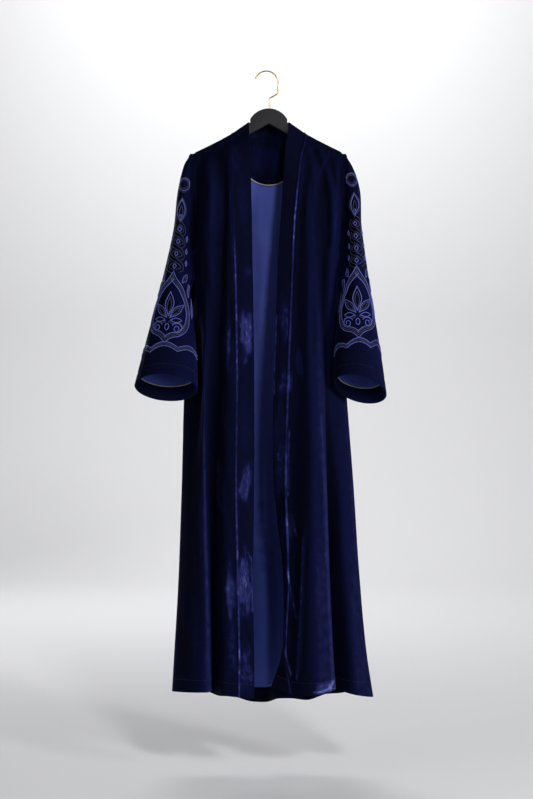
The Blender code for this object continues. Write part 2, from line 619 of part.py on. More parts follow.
def arc(centre, radius, first, last, steps):
    """Points on a circle between two angles in degrees."""
    angles = np.radians(np.linspace(first, last, steps))
    return [(centre[0] + radius * math.cos(a), centre[1] + radius * math.sin(a)) for a in angles]


def hanger_outline():
    """Front outline of the hanger in metres, right half: plate arch, arm, round end, underside."""
    rise = PLATE_TOP_Z - PLATE_SIDE_Z
    radius = (PLATE_HALF_WIDTH**2 + rise**2) / (2 * rise)
    half_angle = math.degrees(math.asin(PLATE_HALF_WIDTH / radius))
    plate = arc((0.0, PLATE_TOP_Z - radius), radius, 90, 90 - half_angle, 9)
    top = []
    seat = (VELVET / 2 + HANGER_SEAT) / math.cos(math.radians(SHOULDER_SLOPE))
    under_cloth = [distance for distance, _ in SHOULDER_LINE if distance * MM < HANGER_ARM_END]
    for distance in [*under_cloth, HANGER_ARM_END / MM]:
        top.append((distance * MM, shoulder_z(CENTRE_X / MM + distance) * MM - seat))
    end_x, end_z = top[-1]
    end = [(end_x + out * MM, end_z - down * MM) for out, down in HANGER_END]
    foot_of_plate = (PLATE_HALF_WIDTH, top[0][1] + PLATE_FILLET)
    return plate + [foot_of_plate] + top + end


def make_hanger():
    """Flat hanger: an extruded outline with rounded edges and a bore for the hook's stem."""
    right = hanger_outline()
    left = [(-x, z) for x, z in reversed(right[1:])]
    outline = right + [(0.0, NOTCH_Z)] + left
    curve = bpy.data.curves.new("hanger", "CURVE")
    curve.dimensions = "2D"
    curve.fill_mode = "BOTH"
    curve.extrude = HANGER_THICKNESS / 2
    spline = curve.splines.new("POLY")
    spline.points.add(len(outline) - 1)
    for target, (x, z) in zip(spline.points, outline):
        target.co = (x, z, 0.0, 1.0)
    spline.use_cyclic_u = True
    flat = add_object("hanger_outline", curve, HANGER_PAINT)
    flat.rotation_euler = (math.pi / 2, 0, 0)
    flat.location = (CENTRE_X, 0, 0)
    bpy.context.view_layer.update()
    mesh = bpy.data.meshes.new_from_object(flat.evaluated_get(bpy.context.evaluated_depsgraph_get()))
    mesh.name = "hanger"
    place = flat.matrix_world.copy()
    bpy.data.objects.remove(flat)
    work = bmesh.new()
    work.from_mesh(mesh)
    bmesh.ops.remove_doubles(work, verts=work.verts, dist=0.00001)
    bmesh.ops.dissolve_limit(work, angle_limit=0.01, verts=work.verts, edges=work.edges)
    bmesh.ops.recalc_face_normals(work, faces=work.faces)
    work.to_mesh(mesh)
    work.free()
    hanger = add_object("hanger", mesh, HANGER_PAINT)
    hanger.matrix_world = place
    bevel = hanger.modifiers.new("round edges", "BEVEL")
    bevel.width = HANGER_EDGE
    bevel.segments = 2
    bevel.limit_method = "ANGLE"
    bevel.angle_limit = math.radians(60)

    bpy.ops.mesh.primitive_cylinder_add(
        vertices=12, radius=HOOK_WIRE_RADIUS + HOOK_STEM_ROOM, depth=2 * HOOK_STEM_DEPTH,
        location=(HOOK_STEM_X, 0, PLATE_TOP_Z))
    bore = bpy.context.object
    bore.name = "stem_bore"
    for collection in list(bore.users_collection):
        collection.objects.unlink(bore)
    CUTTERS.objects.link(bore)
    bore.hide_render = True
    bore.display_type = "WIRE"
    cut = hanger.modifiers.new("bore", "BOOLEAN")
    cut.object = bore
    cut.operation = "DIFFERENCE"
    cut.solver = "EXACT"
    return hanger


def make_hook():
    """Wire hook: open loop over the rod, a crank, and a stem in the hanger's bore."""
    loop = arc(HOOK_CENTRE, HOOK_RADIUS, HOOK_TIP_ANGLE, 0, 15)
    right_x = HOOK_CENTRE[0] + HOOK_RADIUS
    points = loop + [(right_x, HOOK_CRANK_Z + HOOK_BEND)]
    points += arc((right_x - HOOK_BEND, HOOK_CRANK_Z + HOOK_BEND), HOOK_BEND, *HOOK_OUT_BEND, 3)
    points += arc((HOOK_STEM_X + HOOK_BEND, HOOK_CRANK_Z - 2 * HOOK_BEND), HOOK_BEND, *HOOK_IN_BEND, 4)
    points += [(HOOK_STEM_X, PLATE_TOP_Z - HOOK_STEM_DEPTH + HOOK_STEM_ROOM * 2)]
    path = [(x / MM, 0.0, z / MM) for x, z in points]
    make_wire("hanger_hook", path, HOOK_WIRE_RADIUS, HOOK_METAL, sides=2)


for old in list(bpy.data.objects):
    bpy.data.objects.remove(old)

PARTS = bpy.data.collections.new("abaya_on_hanger")
CUTTERS = bpy.data.collections.new("cutters")
for group in (PARTS, CUTTERS):
    bpy.context.scene.collection.children.link(group)

VELVET_CLOTH = make_material("velvet", "161A52", 0.75)
BAND_CLOTH = make_material("crushed velvet", "23286E", 0.55)
LINING_CLOTH = make_material("satin lining", "5A679E", 0.4)
PIPING_CLOTH = make_material("piping", "B9B4A6", 0.7)
HANGER_PAINT = make_material("dark paint", "4A4A50", 0.5)
HOOK_METAL = make_material("brass wire", "C79A4B", 0.3, 1.0)

make_front("left", LEFT_FRONT)
make_front("right", RIGHT_FRONT)
back_sheet, back_places = make_back()
make_neck_band(back_sheet, back_places)
make_neck_facing()
make_sleeve("left", LEFT_SLEEVE, -1)
make_sleeve("right", RIGHT_SLEEVE, 1)
make_hanger()
make_hook()
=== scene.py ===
# %% [markdown]
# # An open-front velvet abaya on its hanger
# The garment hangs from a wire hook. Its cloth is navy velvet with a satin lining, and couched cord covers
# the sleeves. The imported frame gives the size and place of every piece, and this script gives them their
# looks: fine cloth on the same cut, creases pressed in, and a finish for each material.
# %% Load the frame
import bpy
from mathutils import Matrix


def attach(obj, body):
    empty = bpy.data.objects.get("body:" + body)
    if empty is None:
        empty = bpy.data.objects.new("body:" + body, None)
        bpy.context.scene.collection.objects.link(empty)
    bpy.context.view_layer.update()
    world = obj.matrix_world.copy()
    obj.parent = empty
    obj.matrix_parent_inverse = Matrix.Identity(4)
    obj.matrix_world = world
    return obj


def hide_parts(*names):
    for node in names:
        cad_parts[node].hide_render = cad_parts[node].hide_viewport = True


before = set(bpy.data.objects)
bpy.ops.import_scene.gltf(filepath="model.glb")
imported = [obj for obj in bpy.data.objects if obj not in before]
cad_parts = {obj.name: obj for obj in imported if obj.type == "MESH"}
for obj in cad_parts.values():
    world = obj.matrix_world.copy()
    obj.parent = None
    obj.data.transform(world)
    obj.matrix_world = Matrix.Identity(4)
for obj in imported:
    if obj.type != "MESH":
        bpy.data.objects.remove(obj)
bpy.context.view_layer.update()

# %% [markdown]
# ## Tools for shapes
# Every new piece is a grid of points worked out with numpy. Lengths are in millimetres up to the moment
# when a grid becomes a mesh. A cubic curve through given values carries each fold line from the shoulder to
# the hem: a polyline would show its corners, and a single spline object for each fold would be harder to
# keep in step.
# %% Curves and unit vectors
import math

import bpy
import numpy as np
from mathutils import Vector

MM = 0.001


def unit(vectors):
    """Each vector divided by its length."""
    return vectors / np.maximum(np.linalg.norm(vectors, axis=-1, keepdims=True), 1e-9)


def smooth_through(knots, values, places):
    """Cubic Hermite curve through values at the knots, with slopes taken from the neighbours."""
    knots, values, places = (np.asarray(part, float) for part in (knots, values, places))
    slopes = np.gradient(values, knots, axis=0)
    low = np.clip(np.searchsorted(knots, places, side="right") - 1, 0, len(knots) - 2)
    span = knots[low + 1] - knots[low]
    s = (places - knots[low]) / span
    shape = (-1,) + (1,) * (values.ndim - 1)
    s, span = s.reshape(shape), span.reshape(shape)
    return ((2 * s**3 - 3 * s**2 + 1) * values[low] + (s**3 - 2 * s**2 + s) * span * slopes[low]
            + (3 * s**2 - 2 * s**3) * values[low + 1] + (s**3 - s**2) * span * slopes[low + 1])


def lengths_along(line):
    """Distance from a line's first point to each of its points, along it."""
    return np.concatenate([[0.0], np.cumsum(np.linalg.norm(np.diff(line, axis=0), axis=1))])


def evenly(line, along, places):
    """Points of a line at places along it, on the straight stretches between its own points."""
    return np.stack([np.interp(places, along, part) for part in line.T], axis=1)


def weighted(values, low, high, left, right, s, t):
    """A grid's values between two rows and two columns: (1 - s, s) times (1 - t, t), summed."""
    return (1 - s) * ((1 - t) * values[low, left] + t * values[low, right]) \
        + s * ((1 - t) * values[high, left] + t * values[high, right])


def ease(value):
    """Smooth step: 0 below 0, 1 above 1, with level ends between, 3v^2 - 2v^3."""
    value = np.clip(value, 0, 1)
    return value * value * (3 - 2 * value)


# %% Grids of points
def grid_quads(rows, columns, around=False):
    """Each quad joins a point to the one below, the one beside that, and the one beside itself."""
    across = columns if around else columns - 1
    row, column = np.meshgrid(np.arange(rows - 1), np.arange(across), indexing="ij")
    beside = (column + 1) % columns
    corners = [row * columns + column, (row + 1) * columns + column,
               (row + 1) * columns + beside, row * columns + beside]
    return np.stack(corners, -1).reshape(-1, 4)


def grid_normals(grid, around=False):
    """Cross product of the step down and the step across at each point, made a unit vector."""
    down = np.gradient(grid, axis=0)
    if around:
        across = (np.roll(grid, -1, axis=1) - np.roll(grid, 1, axis=1)) / 2
    else:
        across = np.gradient(grid, axis=1)
    return unit(np.cross(down, across))


def joined(grid, around):
    """The grid with its first column again after the last, if it closes round."""
    return np.concatenate([grid, grid[:, :1]], axis=1) if around else grid


def run_lengths(grid, axis):
    """Mean distance along the grid in one direction, from its first row or column, in mm."""
    steps = np.linalg.norm(np.diff(grid, axis=axis), axis=2).mean(axis=1 - axis)
    return np.concatenate([[0.0], np.cumsum(steps)])


def spaced(*stretches):
    """Places along stretches (first, last, step), with the ends of each stretch kept."""
    runs = [np.linspace(first, last, max(2, round((last - first) / step) + 1))
            for first, last, step in stretches]
    return np.concatenate([runs[0]] + [run[1:] for run in runs[1:]])


def refine(grid, across, down, columns, rows):
    """Points between a coarse grid's points: cubic curves through them down, then across.

    across and down are the places of its own columns and rows, columns and rows the ones that are wanted.
    """
    tall = smooth_through(down, grid, rows)
    return smooth_through(across, tall.transpose(1, 0, 2), columns).transpose(1, 0, 2)


print("a grid of 3 by 4 points has", len(grid_quads(3, 4)), "quads")


# %% Meshes from grids
def new_object(name, points, faces, material, uv=None, uv_faces=None, attributes=None):
    """Mesh object in metres from points in mm, smooth shaded, with a UV place and values for each point."""
    mesh = bpy.data.meshes.new(name)
    mesh.from_pydata((np.asarray(points).reshape(-1, 3) * MM).tolist(), [], np.asarray(faces).tolist())
    if uv is not None:
        corners = np.asarray(faces if uv_faces is None else uv_faces).ravel()
        layer = mesh.uv_layers.new(name="cloth")
        layer.data.foreach_set("uv", (np.asarray(uv).reshape(-1, 2)[corners] * MM).ravel())
    for word, values in (attributes or {}).items():
        layer = mesh.attributes.new(word, "FLOAT", "POINT")
        layer.data.foreach_set("value", np.asarray(values, np.float32).ravel())
    mesh.shade_smooth()
    obj = bpy.data.objects.new(name, mesh)
    obj.data.materials.append(material)
    bpy.context.scene.collection.objects.link(obj)
    return obj


def flat_places(grid, around=False):
    """Flat place of each point of a cloth grid: mean distance across and down, in mm."""
    return np.stack(np.meshgrid(run_lengths(joined(grid, around), 1), -run_lengths(grid, 0)), axis=-1)


# Sizes of the painted light and shade on the velvet's folds, and the share of painted light from the right.
SHADE_REACH, SHADE_RISE, LIGHT_FROM_RIGHT = 32.0, 24.0, 0.3      # mm along the cloth, mm of height, share of slope


def fold_light_and_shade(grid, around=False):
    """Painted shade in a fold's trough (0) and painted light on its ridge (1), between 0 and 1.

    0.5 + (P - M) . N / rise + k N_x. M is the mean of the points beside P, weighted by exp(-(s / reach)^2)
    for their distance s along the cloth, and N the outward normal. The last part, with k a share of the
    slope, is painted light from the right: slopes that face right look lighter.
    """
    across = run_lengths(joined(grid, around), 1)
    whole = across[-1]
    across = across[:grid.shape[1]]
    apart = np.abs(across[:, None] - across)
    if around:
        apart = np.minimum(apart, whole - apart)
    weights = np.exp(-(apart / SHADE_REACH) ** 2)
    mean = (weights / weights.sum(axis=1, keepdims=True)) @ grid
    normals = grid_normals(grid, around)
    height = ((grid - mean) * normals).sum(axis=2)
    return np.clip(0.5 + height / SHADE_RISE + LIGHT_FROM_RIGHT * normals[..., 0], 0.0, 1.0)


def cloth(name, grid, wall, material, around=False, inside=None, attributes=None):
    """Wall of cloth about a grid: the sheet, and a Solidify modifier half outwards and half inwards."""
    rows, columns = grid.shape[:2]
    # Every cloth piece carries the painted light and shade of its folds as an attribute.
    attributes = {"painted_light_and_shade": fold_light_and_shade(grid, around), **(attributes or {})}
    obj = new_object(name, grid, grid_quads(rows, columns, around), material, flat_places(grid, around),
                     grid_quads(rows, columns + 1 if around else columns), attributes)
    solidify = obj.modifiers.new("wall", "SOLIDIFY")
    solidify.thickness = wall * MM
    solidify.offset = 0.0
    if inside:
        obj.data.materials.append(inside)
        solidify.material_offset = 1
    return obj


def tube_rings(path, radius, up, sides=12, closed=False):
    """Rings of a round tube: path + r (cos t U + sin t S), S = T x up, U = S x T, T the path's direction.

    radius is one number or one for each point of the path. up points away from what the tube lies on.
    """
    path = np.asarray(path, float)
    ahead = np.roll(path, -1, axis=0) - np.roll(path, 1, axis=0) if closed else np.gradient(path, axis=0)
    ahead = unit(ahead)
    sideways = unit(np.cross(ahead, np.broadcast_to(up, path.shape)))
    upwards = np.cross(sideways, ahead)
    turn = np.linspace(0, 2 * np.pi, sides, endpoint=False)[None, :, None]
    reach = np.broadcast_to(radius, len(path))[:, None, None]
    return path[:, None] + reach * (np.cos(turn) * upwards[:, None] + np.sin(turn) * sideways[:, None])


def round_ended(path, radius, steps=4):
    """The path and a radius for each point, with a half ball added at each end."""
    path = np.asarray(path, float)
    turn = np.linspace(0, np.pi / 2, steps + 1)[:-1]
    ends = [unit(path[1] - path[0]), unit(path[-1] - path[-2])]
    first = path[0] - ends[0] * radius * np.cos(turn)[:, None]
    last = path[-1] + ends[1] * radius * np.cos(turn[::-1])[:, None]
    radii = np.concatenate([radius * np.sin(turn) + 0.01, np.full(len(path), radius),
                            radius * np.sin(turn[::-1]) + 0.01])
    return np.concatenate([first, path, last]), radii


def tubes(name, grids, material, closed=False):
    """One object from the rings of several tubes. A closed tube's last ring joins its first."""
    points, faces, places, start = [], [], [], 0
    for grid in grids:
        rows, sides = grid.shape[:2]
        quads = grid_quads(rows + 1, sides, around=True) % (rows * sides) if closed else \
            grid_quads(rows, sides, around=True)
        points.append(grid.reshape(-1, 3))
        faces.append(quads + start)
        girth = np.arange(sides) / sides * np.linalg.norm(grid[0, 0] - grid[0, sides // 2]) * np.pi
        places.append(np.stack(np.meshgrid(girth, run_lengths(grid, 0)), axis=-1).reshape(-1, 2))
        start += rows * sides
    return new_object(name, np.concatenate(points), np.concatenate(faces), material, np.concatenate(places))


def stand_for(obj, node):
    """Attach a piece that isn't cloth to the root body, hide the node that it stands for, and print its
    faces.
    """
    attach(obj, "root")
    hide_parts(node)
    print(f"{obj.name}: {len(obj.data.polygons)} faces")


def declare(obj, node):
    """Attach a cloth piece to the root body and hide the node that it stands for."""
    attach(obj, "root")
    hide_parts(node)


# %% [markdown]
# ## The cut
# A garment keeps its shape through its cut: where each fold line starts at the shoulder and how far it
# swings out at the hem. The tables repeat the ones that the solids are made from, so the fine cloth lies on
# the same surface.
# %% Heights and fold lines
VELVET, SATIN, FACING = 2.0, 1.0, 1.5   # walls of cloth, mm
GAP = 0.3                               # between pieces at a seam
FLANGE, SEAM_ALLOWANCE = 4.0, 2.0
CENTRE_X = 1.7
SHOULDER_LINE = [(49.0, -123.5), (65.0, -136.5), (88.0, -151.5), (122.0, -170.0), (155.0, -186.5),
                 (187.0, -202.0)]
NECK_HALF_WIDTH, NECK_DEPTH, NECK_SEAM_Z = 93.7, 36.0, -160.5
NECK_EDGE_HALF_WIDTH, NECK_EDGE_DEPTH, NECK_EDGE_Z = 49.0, 31.0, -121.5
NECK_EASE, NECK_EASE_DEPTH, NECK_SPREAD, NECK_SQUARENESS = 140.0, 7.0, 0.6, 2.2
NECK_HANG = [(0.0, 1.0), (2.0, 1.0), (4.5, 0.3), (7.0, 0.0)]
NECK_DOWN = np.array([0.0, 0.1, -1.0])
NECK_CORNER_SHIFT = (0.0, 1.2, 0.4)
ARMHOLE_X, ARMHOLE_TOP_Z, UNDERARM_Z = 186.0, -201.5, -436.0
ARMHOLE_HALF_DEPTH, ARMHOLE_BLUNTNESS = 24.0, 0.7
ARMHOLE_TOP = [(0.0, 0.15), (0.2, 2.2), (3.0, 4.6), (12.0, 7.0)]
SEAM_TUCK = 0.05               # each side seam's edges overlap, so that no light passes between them
UNDERARM_FULLNESS = 7.0        # cloth gathered below each armhole fills the corner beside the sleeve
SIDE_SEAM_LIES = (-0.25, 0.97)
SHOULDER_TURN = [(0.15, 0.0), (2.5, 0.0), (6.4, 2.6), (8.6, 12.0)]
TURN_END = len(SHOULDER_TURN) - 1       # the last row of a sheet that still turns over the hanger
YOKE_DROP, YOKE_SHARE = 50.0, 0.42
TURN_MEAN, YOKE_MEAN, HEM_MEAN = -190.0, -245.0, -1515.0
LEVELS = [-320, -436, -540, -756, -1000, -1260, -1420]
ROWS = [-360, -400, -436, -485, -540, -610, -680, -756, -835, -915, -1000, -1085, -1170, -1260, -1340, -1420]
HEM_FACING_HEIGHT = 36.0
HEM_FACING_ROW = -1480.0
CORNER_STEP = 0.12

# Each row: name, x at the shoulder, x at each level and at the hem, y likewise, height of the hem.
LEFT_FRONT = [
    ("opening edge", -47,
     (-40, -38, -36, -33, -33, -36, -33, -33), (-50, -64, -75, -95, -105, -110, -112, -112), -1514),
    ("band middle", -70,
     (-65, -61, -59, -56, -57, -57, -54, -54), (-54, -68, -80, -100, -111, -117, -119, -119), -1511),
    ("band seam", -92,
     (-90, -85, -82, -79, -81, -76, -73, -74), (-56, -70, -82, -103, -113, -119, -121, -121), -1508),
    ("shining strip", -106,
     (-97, -98, -98, -98, -103, -107, -105, -105), (-53, -67, -79, -99, -107, -111, -112, -112), -1506),
    ("inner valley", -116,
     (-105, -112, -115, -120, -126, -132, -131, -130), (-46, -57, -65, -79, -83, -79, -75, -73), -1502),
    ("inner slope", -130,
     (-128, -134, -133, -136, -140, -138, -136, -135), (-58, -67, -72, -82, -84, -82, -80, -78), -1499),
    ("front edge", -150,
     (-151, -154, -151, -154, -152, -145, -141, -141), (-54, -62, -66, -92, -106, -110, -112, -112), -1498),
    ("side front", -165,
     (-164, -169, -168, -158, -177, -179, -181, -181), (-36, -38, -44, -45, -86, -98, -104, -106), -1500),
    ("side edge", -176,
     (-176, -178, -180, -202, -208, -217, -226, -231), (-26, -16, -9, -3, -40, -48, -52, -54), -1506),
    ("side seam", -186,
     (-186, -186, -194, -198, -203, -212, -221, -226), (-24, 0, 19, 23, 18, 16, 14, 14), -1512),
]
RIGHT_FRONT = [
    ("opening edge", 51,
     (34, 26, 22, 14, 14, 38, 31, 8), (-48, -62, -72, -92, -98, -76, -82, -98), -1488),
    ("band middle", 73,
     (53, 46, 41, 32, 30, 45, 36, 31), (-53, -67, -78, -98, -106, -96, -98, -110), -1496),
    ("band seam", 95,
     (72, 64, 60, 52, 46, 50, 45, 57), (-55, -69, -80, -102, -112, -114, -112, -119), -1503),
    ("crease valley", 103,
     (80, 74, 71, 67, 66, 63, 58, 62), (-52, -66, -77, -98, -104, -108, -112, -120), -1503),
    ("crease ridge", 110,
     (87, 84, 82, 81, 83, 76, 71, 70), (-54, -68, -80, -101, -112, -118, -121, -123), -1503),
    ("round of the fold", 127,
     (97, 98, 98, 100, 107, 109, 111, 113), (-58, -72, -85, -108, -122, -132, -137, -139), -1502),
    ("front edge", 144,
     (108, 111, 116, 124, 135, 143, 150, 155), (-54, -66, -78, -98, -112, -120, -124, -126), -1490),
    ("deep valley", 153,
     (130, 132, 131, 137, 143, 152, 160, 165), (-40, -46, -50, -56, -60, -64, -68, -70), -1500),
    ("side front", 164,
     (162, 155, 150, 148, 169, 186, 198, 205), (-42, -48, -52, -46, -62, -78, -86, -90), -1508),
    ("side edge", 176,
     (176, 178, 170, 188, 206, 223, 238, 253), (-26, -16, -14, -3, -34, -46, -54, -58), -1519),
    ("side seam", 186,
     (186, 186, 182, 187, 200, 217, 232, 247), (-24, 0, 19, 25, 20, 16, 14, 14), -1522),
]
BACK = [
    ("left side seam", -186,
     (-186, -186, -194, -198, -203, -212, -221, -226), (24, 0, 19, 23, 18, 16, 14, 14), -1512),
    ("left side back", -171,
     (-174, -176, -177, -183, -190, -200, -209, -213), (26, 22, 37, 46, 52, 60, 64, 66), -1516),
    ("left outer ridge", -145,
     (-146, -143, -138, -146, -152, -160, -166, -168), (33, 40, 50, 64, 78, 92, 98, 100), -1528),
    ("left outer valley", -118,
     (-116, -112, -108, -110, -112, -116, -120, -121), (30, 36, 42, 50, 56, 60, 62, 62), -1540),
    ("left neck ridge", -92,
     (-88, -84, -80, -80, -82, -84, -86, -87), (33, 42, 52, 68, 82, 94, 100, 102), -1548),
    ("left inner valley", -58,
     (-55, -51, -47, -46, -45, -44, -43, -42), (31, 38, 45, 54, 58, 58, 56, 54), -1552),
    ("middle valley", -22,
     (-21, -20, -18, -14, -10, -6, -4, -3), (33, 40, 48, 58, 60, 58, 54, 52), -1553),
    ("middle ridge", 14,
     (14, 14, 14, 15, 17, 19, 21, 23), (34, 42, 52, 68, 82, 92, 96, 98), -1554),
    ("right inner ridge", 52,
     (50, 48, 46, 48, 52, 58, 62, 64), (33, 40, 50, 66, 80, 92, 98, 100), -1554),
    ("right inner valley", 95.4,
     (84, 78, 76, 80, 86, 92, 98, 100), (31, 36, 42, 50, 56, 60, 62, 62), -1550),
    ("right neck ridge", 116,
     (113, 108, 104, 112, 120, 130, 138, 142), (33, 42, 52, 66, 82, 94, 100, 102), -1544),
    ("right outer valley", 143,
     (141, 136, 132, 140, 150, 164, 174, 180), (31, 36, 42, 52, 58, 64, 66, 68), -1534),
    ("right side back", 171,
     (173, 173, 171, 173, 184, 201, 214, 224), (26, 22, 37, 46, 54, 62, 66, 68), -1526),
    ("right side seam", 186,
     (186, 186, 182, 187, 200, 217, 232, 247), (24, 0, 19, 25, 20, 16, 14, 14), -1522),
]
print(len(LEFT_FRONT), len(RIGHT_FRONT), len(BACK), "fold lines on the left front, right front and back")


# %% From the shoulder seam to the hem
def shoulder_z(x):
    """Height of the shoulder line at x."""
    distance, height = zip(*SHOULDER_LINE)
    return np.interp(np.abs(x - CENTRE_X), distance, height)


def neck_lines(x):
    """Seam and free edge of the neck band above places x on the seam: rounded squares, seen from above."""
    part = np.clip((x - CENTRE_X) / NECK_HALF_WIDTH, -1, 1)
    round_square = (1 - np.abs(part) ** NECK_SQUARENESS) ** (1 / NECK_SQUARENESS)
    seam_rise = shoulder_z(CENTRE_X + NECK_HALF_WIDTH) - NECK_SEAM_Z
    edge_rise = shoulder_z(CENTRE_X + NECK_EDGE_HALF_WIDTH) - NECK_EDGE_Z
    seam = np.stack([x, NECK_DEPTH * round_square, NECK_SEAM_Z + seam_rise * part**2], axis=1)
    edge = np.stack([CENTRE_X + NECK_EDGE_HALF_WIDTH * part, NECK_EDGE_DEPTH * round_square,
                     NECK_EDGE_Z + edge_rise * part**2], axis=1)
    return seam, edge


def level_points(table):
    """The table's points at each level and at the hem: (level, fold, xyz)."""
    points = np.zeros((len(LEVELS) + 1, len(table), 3))
    points[:, :, 0] = np.array([row[2] for row in table]).T
    points[:, :, 1] = np.array([row[3] for row in table]).T
    points[:-1, :, 2] = np.array(LEVELS)[:, None]
    points[-1, :, 2] = [row[4] for row in table]
    return points


def fold_knots(table):
    """Place of each fold line across the sheet: mean distance from the first."""
    return run_lengths(level_points(table)[:, :, :2], 1)


def turn_over_hanger(top_x, side):
    """The sheet's first rows: over the hanger's arms, or down from the neck band's seam."""
    from_middle = np.abs(top_x - CENTRE_X)
    top_z = shoulder_z(top_x)
    loose = np.clip((NECK_EASE - from_middle) / (NECK_EASE - NECK_HALF_WIDTH), 0, 1) * (side > 0)
    rows = []
    for forward, drop in SHOULDER_TURN:
        y = side * (forward + NECK_EASE_DEPTH * loose**2 * drop / SHOULDER_TURN[-1][1])
        spread = NECK_SPREAD * loose**2 * forward
        rows.append(np.stack([top_x + np.sign(top_x) * spread, y, top_z - drop - 0.5 * spread], axis=1))
    in_neck = (from_middle < NECK_HALF_WIDTH - 0.01) & (side > 0)
    corner = (np.abs(from_middle - NECK_HALF_WIDTH) < 0.01) & (side > 0)
    seam, edge = neck_lines(top_x)
    lean = unit(seam - edge)
    hanging = [seam]
    for step, leaning in NECK_HANG[1:]:
        hanging.append(hanging[-1] + step * unit(leaning * lean + (1 - leaning) * NECK_DOWN))
    rows[1] = np.where(corner[:, None], hanging[1] + np.array(NECK_CORNER_SHIFT), rows[1])
    return [np.where(in_neck[:, None], neck, row) for neck, row in zip(hanging, rows)]


def shape_armhole(sheet, seams, side):
    """Bring the side columns of a sheet onto the armhole, with a flat seam allowance before it."""
    for column, neighbour in ((0, 1), (-1, -2)):
        if abs(abs(sheet[0, column, 0]) - ARMHOLE_X) > 1.0:
            continue
        outward = math.copysign(1.0, sheet[0, column, 0])
        above = sheet[:, column, 2] > UNDERARM_Z + 1.0
        z = sheet[above, column, 2]
        drops, depths = np.array(ARMHOLE_TOP).T
        z[:len(drops)] = ARMHOLE_TOP_Z - drops
        part = np.clip((ARMHOLE_TOP_Z - z) / (ARMHOLE_TOP_Z - UNDERARM_Z), 0, 1)
        depth = ARMHOLE_HALF_DEPTH * np.sin(np.pi * part) ** ARMHOLE_BLUNTNESS
        depth[:len(drops)] = depths
        sheet[above, column] = np.stack([np.full_like(z, outward * ARMHOLE_X), side * depth, z], axis=1)
        sheet[above, neighbour] = sheet[above, column] - np.array([outward * FLANGE, 0, 0])
        underarm = int(above.sum())
        sheet[~above, column] = seams[:, column]
        sheet[~above, column, 1] -= side * SEAM_TUCK
        along_seam = np.array([outward * SIDE_SEAM_LIES[0], SIDE_SEAM_LIES[1], 0]) * FLANGE
        sheet[~above, neighbour] = sheet[~above, column] + side * along_seam
        sheet[underarm, neighbour, 0] = sheet[underarm, column, 0]
    return sheet


def body_sheet(table, side, places, heights):
    """Coarse sheet through the fold lines: side -1 is a front and 1 the back, heights the lower rows."""
    knots = fold_knots(table)
    points = smooth_through(knots, level_points(table).transpose(1, 0, 2), places).transpose(1, 0, 2)
    top_x = smooth_through(knots, [row[1] for row in table], places)
    rows = turn_over_hanger(top_x, side)
    yoke_x = (1 - YOKE_SHARE) * top_x + YOKE_SHARE * points[0, :, 0]
    yoke_y = (1 - YOKE_SHARE) * rows[-1][:, 1] + YOKE_SHARE * points[0, :, 1]
    rows.append(np.stack([yoke_x, yoke_y, rows[0][:, 2] - YOKE_DROP], axis=1))
    known = -np.array([TURN_MEAN, YOKE_MEAN, *LEVELS, HEM_MEAN])
    wanted = -np.array([YOKE_MEAN, LEVELS[0], *heights, HEM_MEAN])
    sheet = np.concatenate([np.stack(rows[:TURN_END + 1]),
                            smooth_through(known, np.stack(rows[TURN_END:] + list(points)), wanted)])
    from_underarm, below = known >= -UNDERARM_Z, wanted >= -UNDERARM_Z
    seams = smooth_through(known[from_underarm], points[1:], wanted[below])
    return shape_armhole(sheet, seams, side)


def places_between(knots, first, last, corner_folds=()):
    """Columns of a coarse sheet: each fold line, each stretch's middle, and a closer step at a corner."""
    places = [knots[first]]
    for fold in range(first, last):
        steps = [0.5, 1.0]
        if fold in corner_folds:
            steps = [CORNER_STEP, 0.5, 1.0]
        if fold + 1 in corner_folds:
            steps = [0.5, 1.0 - CORNER_STEP, 1.0]
        places += [knots[fold] + (knots[fold + 1] - knots[fold]) * step for step in steps]
    return np.array(places)


def fold_number(table, name):
    """Which fold line of the table has this name."""
    return [row[0] for row in table].index(name)


coarse = body_sheet(BACK, 1, places_between(fold_knots(BACK), 0, len(BACK) - 1), ROWS)
print("the back's coarse sheet has", coarse.shape[0], "rows and", coarse.shape[1], "columns")


# %% [markdown]
# ## Finishes
# Velvet is a woven ground with a dense cut pile, here about 1.5 mm long. The pile swallows light that falls
# straight in and sends it back at a flat angle, which is what sheen does in the shader. Where the pile has
# been pressed flat it turns into a mirror-like patch, whose lighter colour is partly painted highlight. An
# attribute painted on the cloth says where, and noise breaks it into mottles. Another attribute paints shade
# into the troughs of the folds and light onto their ridges and right-facing slopes. Hairs would show no
# better at this distance and would take far longer. Satin, cord, thread, plastic and wire follow, each
# worked out from how the real one is made.
# %% Colours and nodes
def colour(code):
    """Linear colour of an sRGB hex value."""
    parts = [int(code[i:i + 2], 16) / 255 for i in (0, 2, 4)]
    return tuple(p / 12.92 if p <= 0.04045 else ((p + 0.055) / 1.055) ** 2.4 for p in parts) + (1.0,)


def add_node(material, kind, settings=None, **links):
    """Add a node: settings are its own values or its sockets' values, links are sockets to plug in."""
    node = material.node_tree.nodes.new("ShaderNode" + kind)
    for word, value in (settings or {}).items():
        if word in node.inputs:
            node.inputs[word].default_value = value
        else:
            setattr(node, word, value)
    for word, socket in links.items():
        spot = int(word[1:]) if word[0] == "_" else word.replace("_", " ")
        material.node_tree.links.new(socket, node.inputs[spot])
    return node


def new_material(name, **values):
    """Material with a Principled shader whose sockets take these values."""
    material = bpy.data.materials.new(name)
    material.use_nodes = True
    shader = material.node_tree.nodes["Principled BSDF"]
    for word, value in values.items():
        shader.inputs[word.replace("_", " ")].default_value = value
    return material, shader


def plug(material, shader, **links):
    """Plug each socket into the shader's input of that name."""
    for word, socket in links.items():
        material.node_tree.links.new(socket, shader.inputs[word.replace("_", " ")])


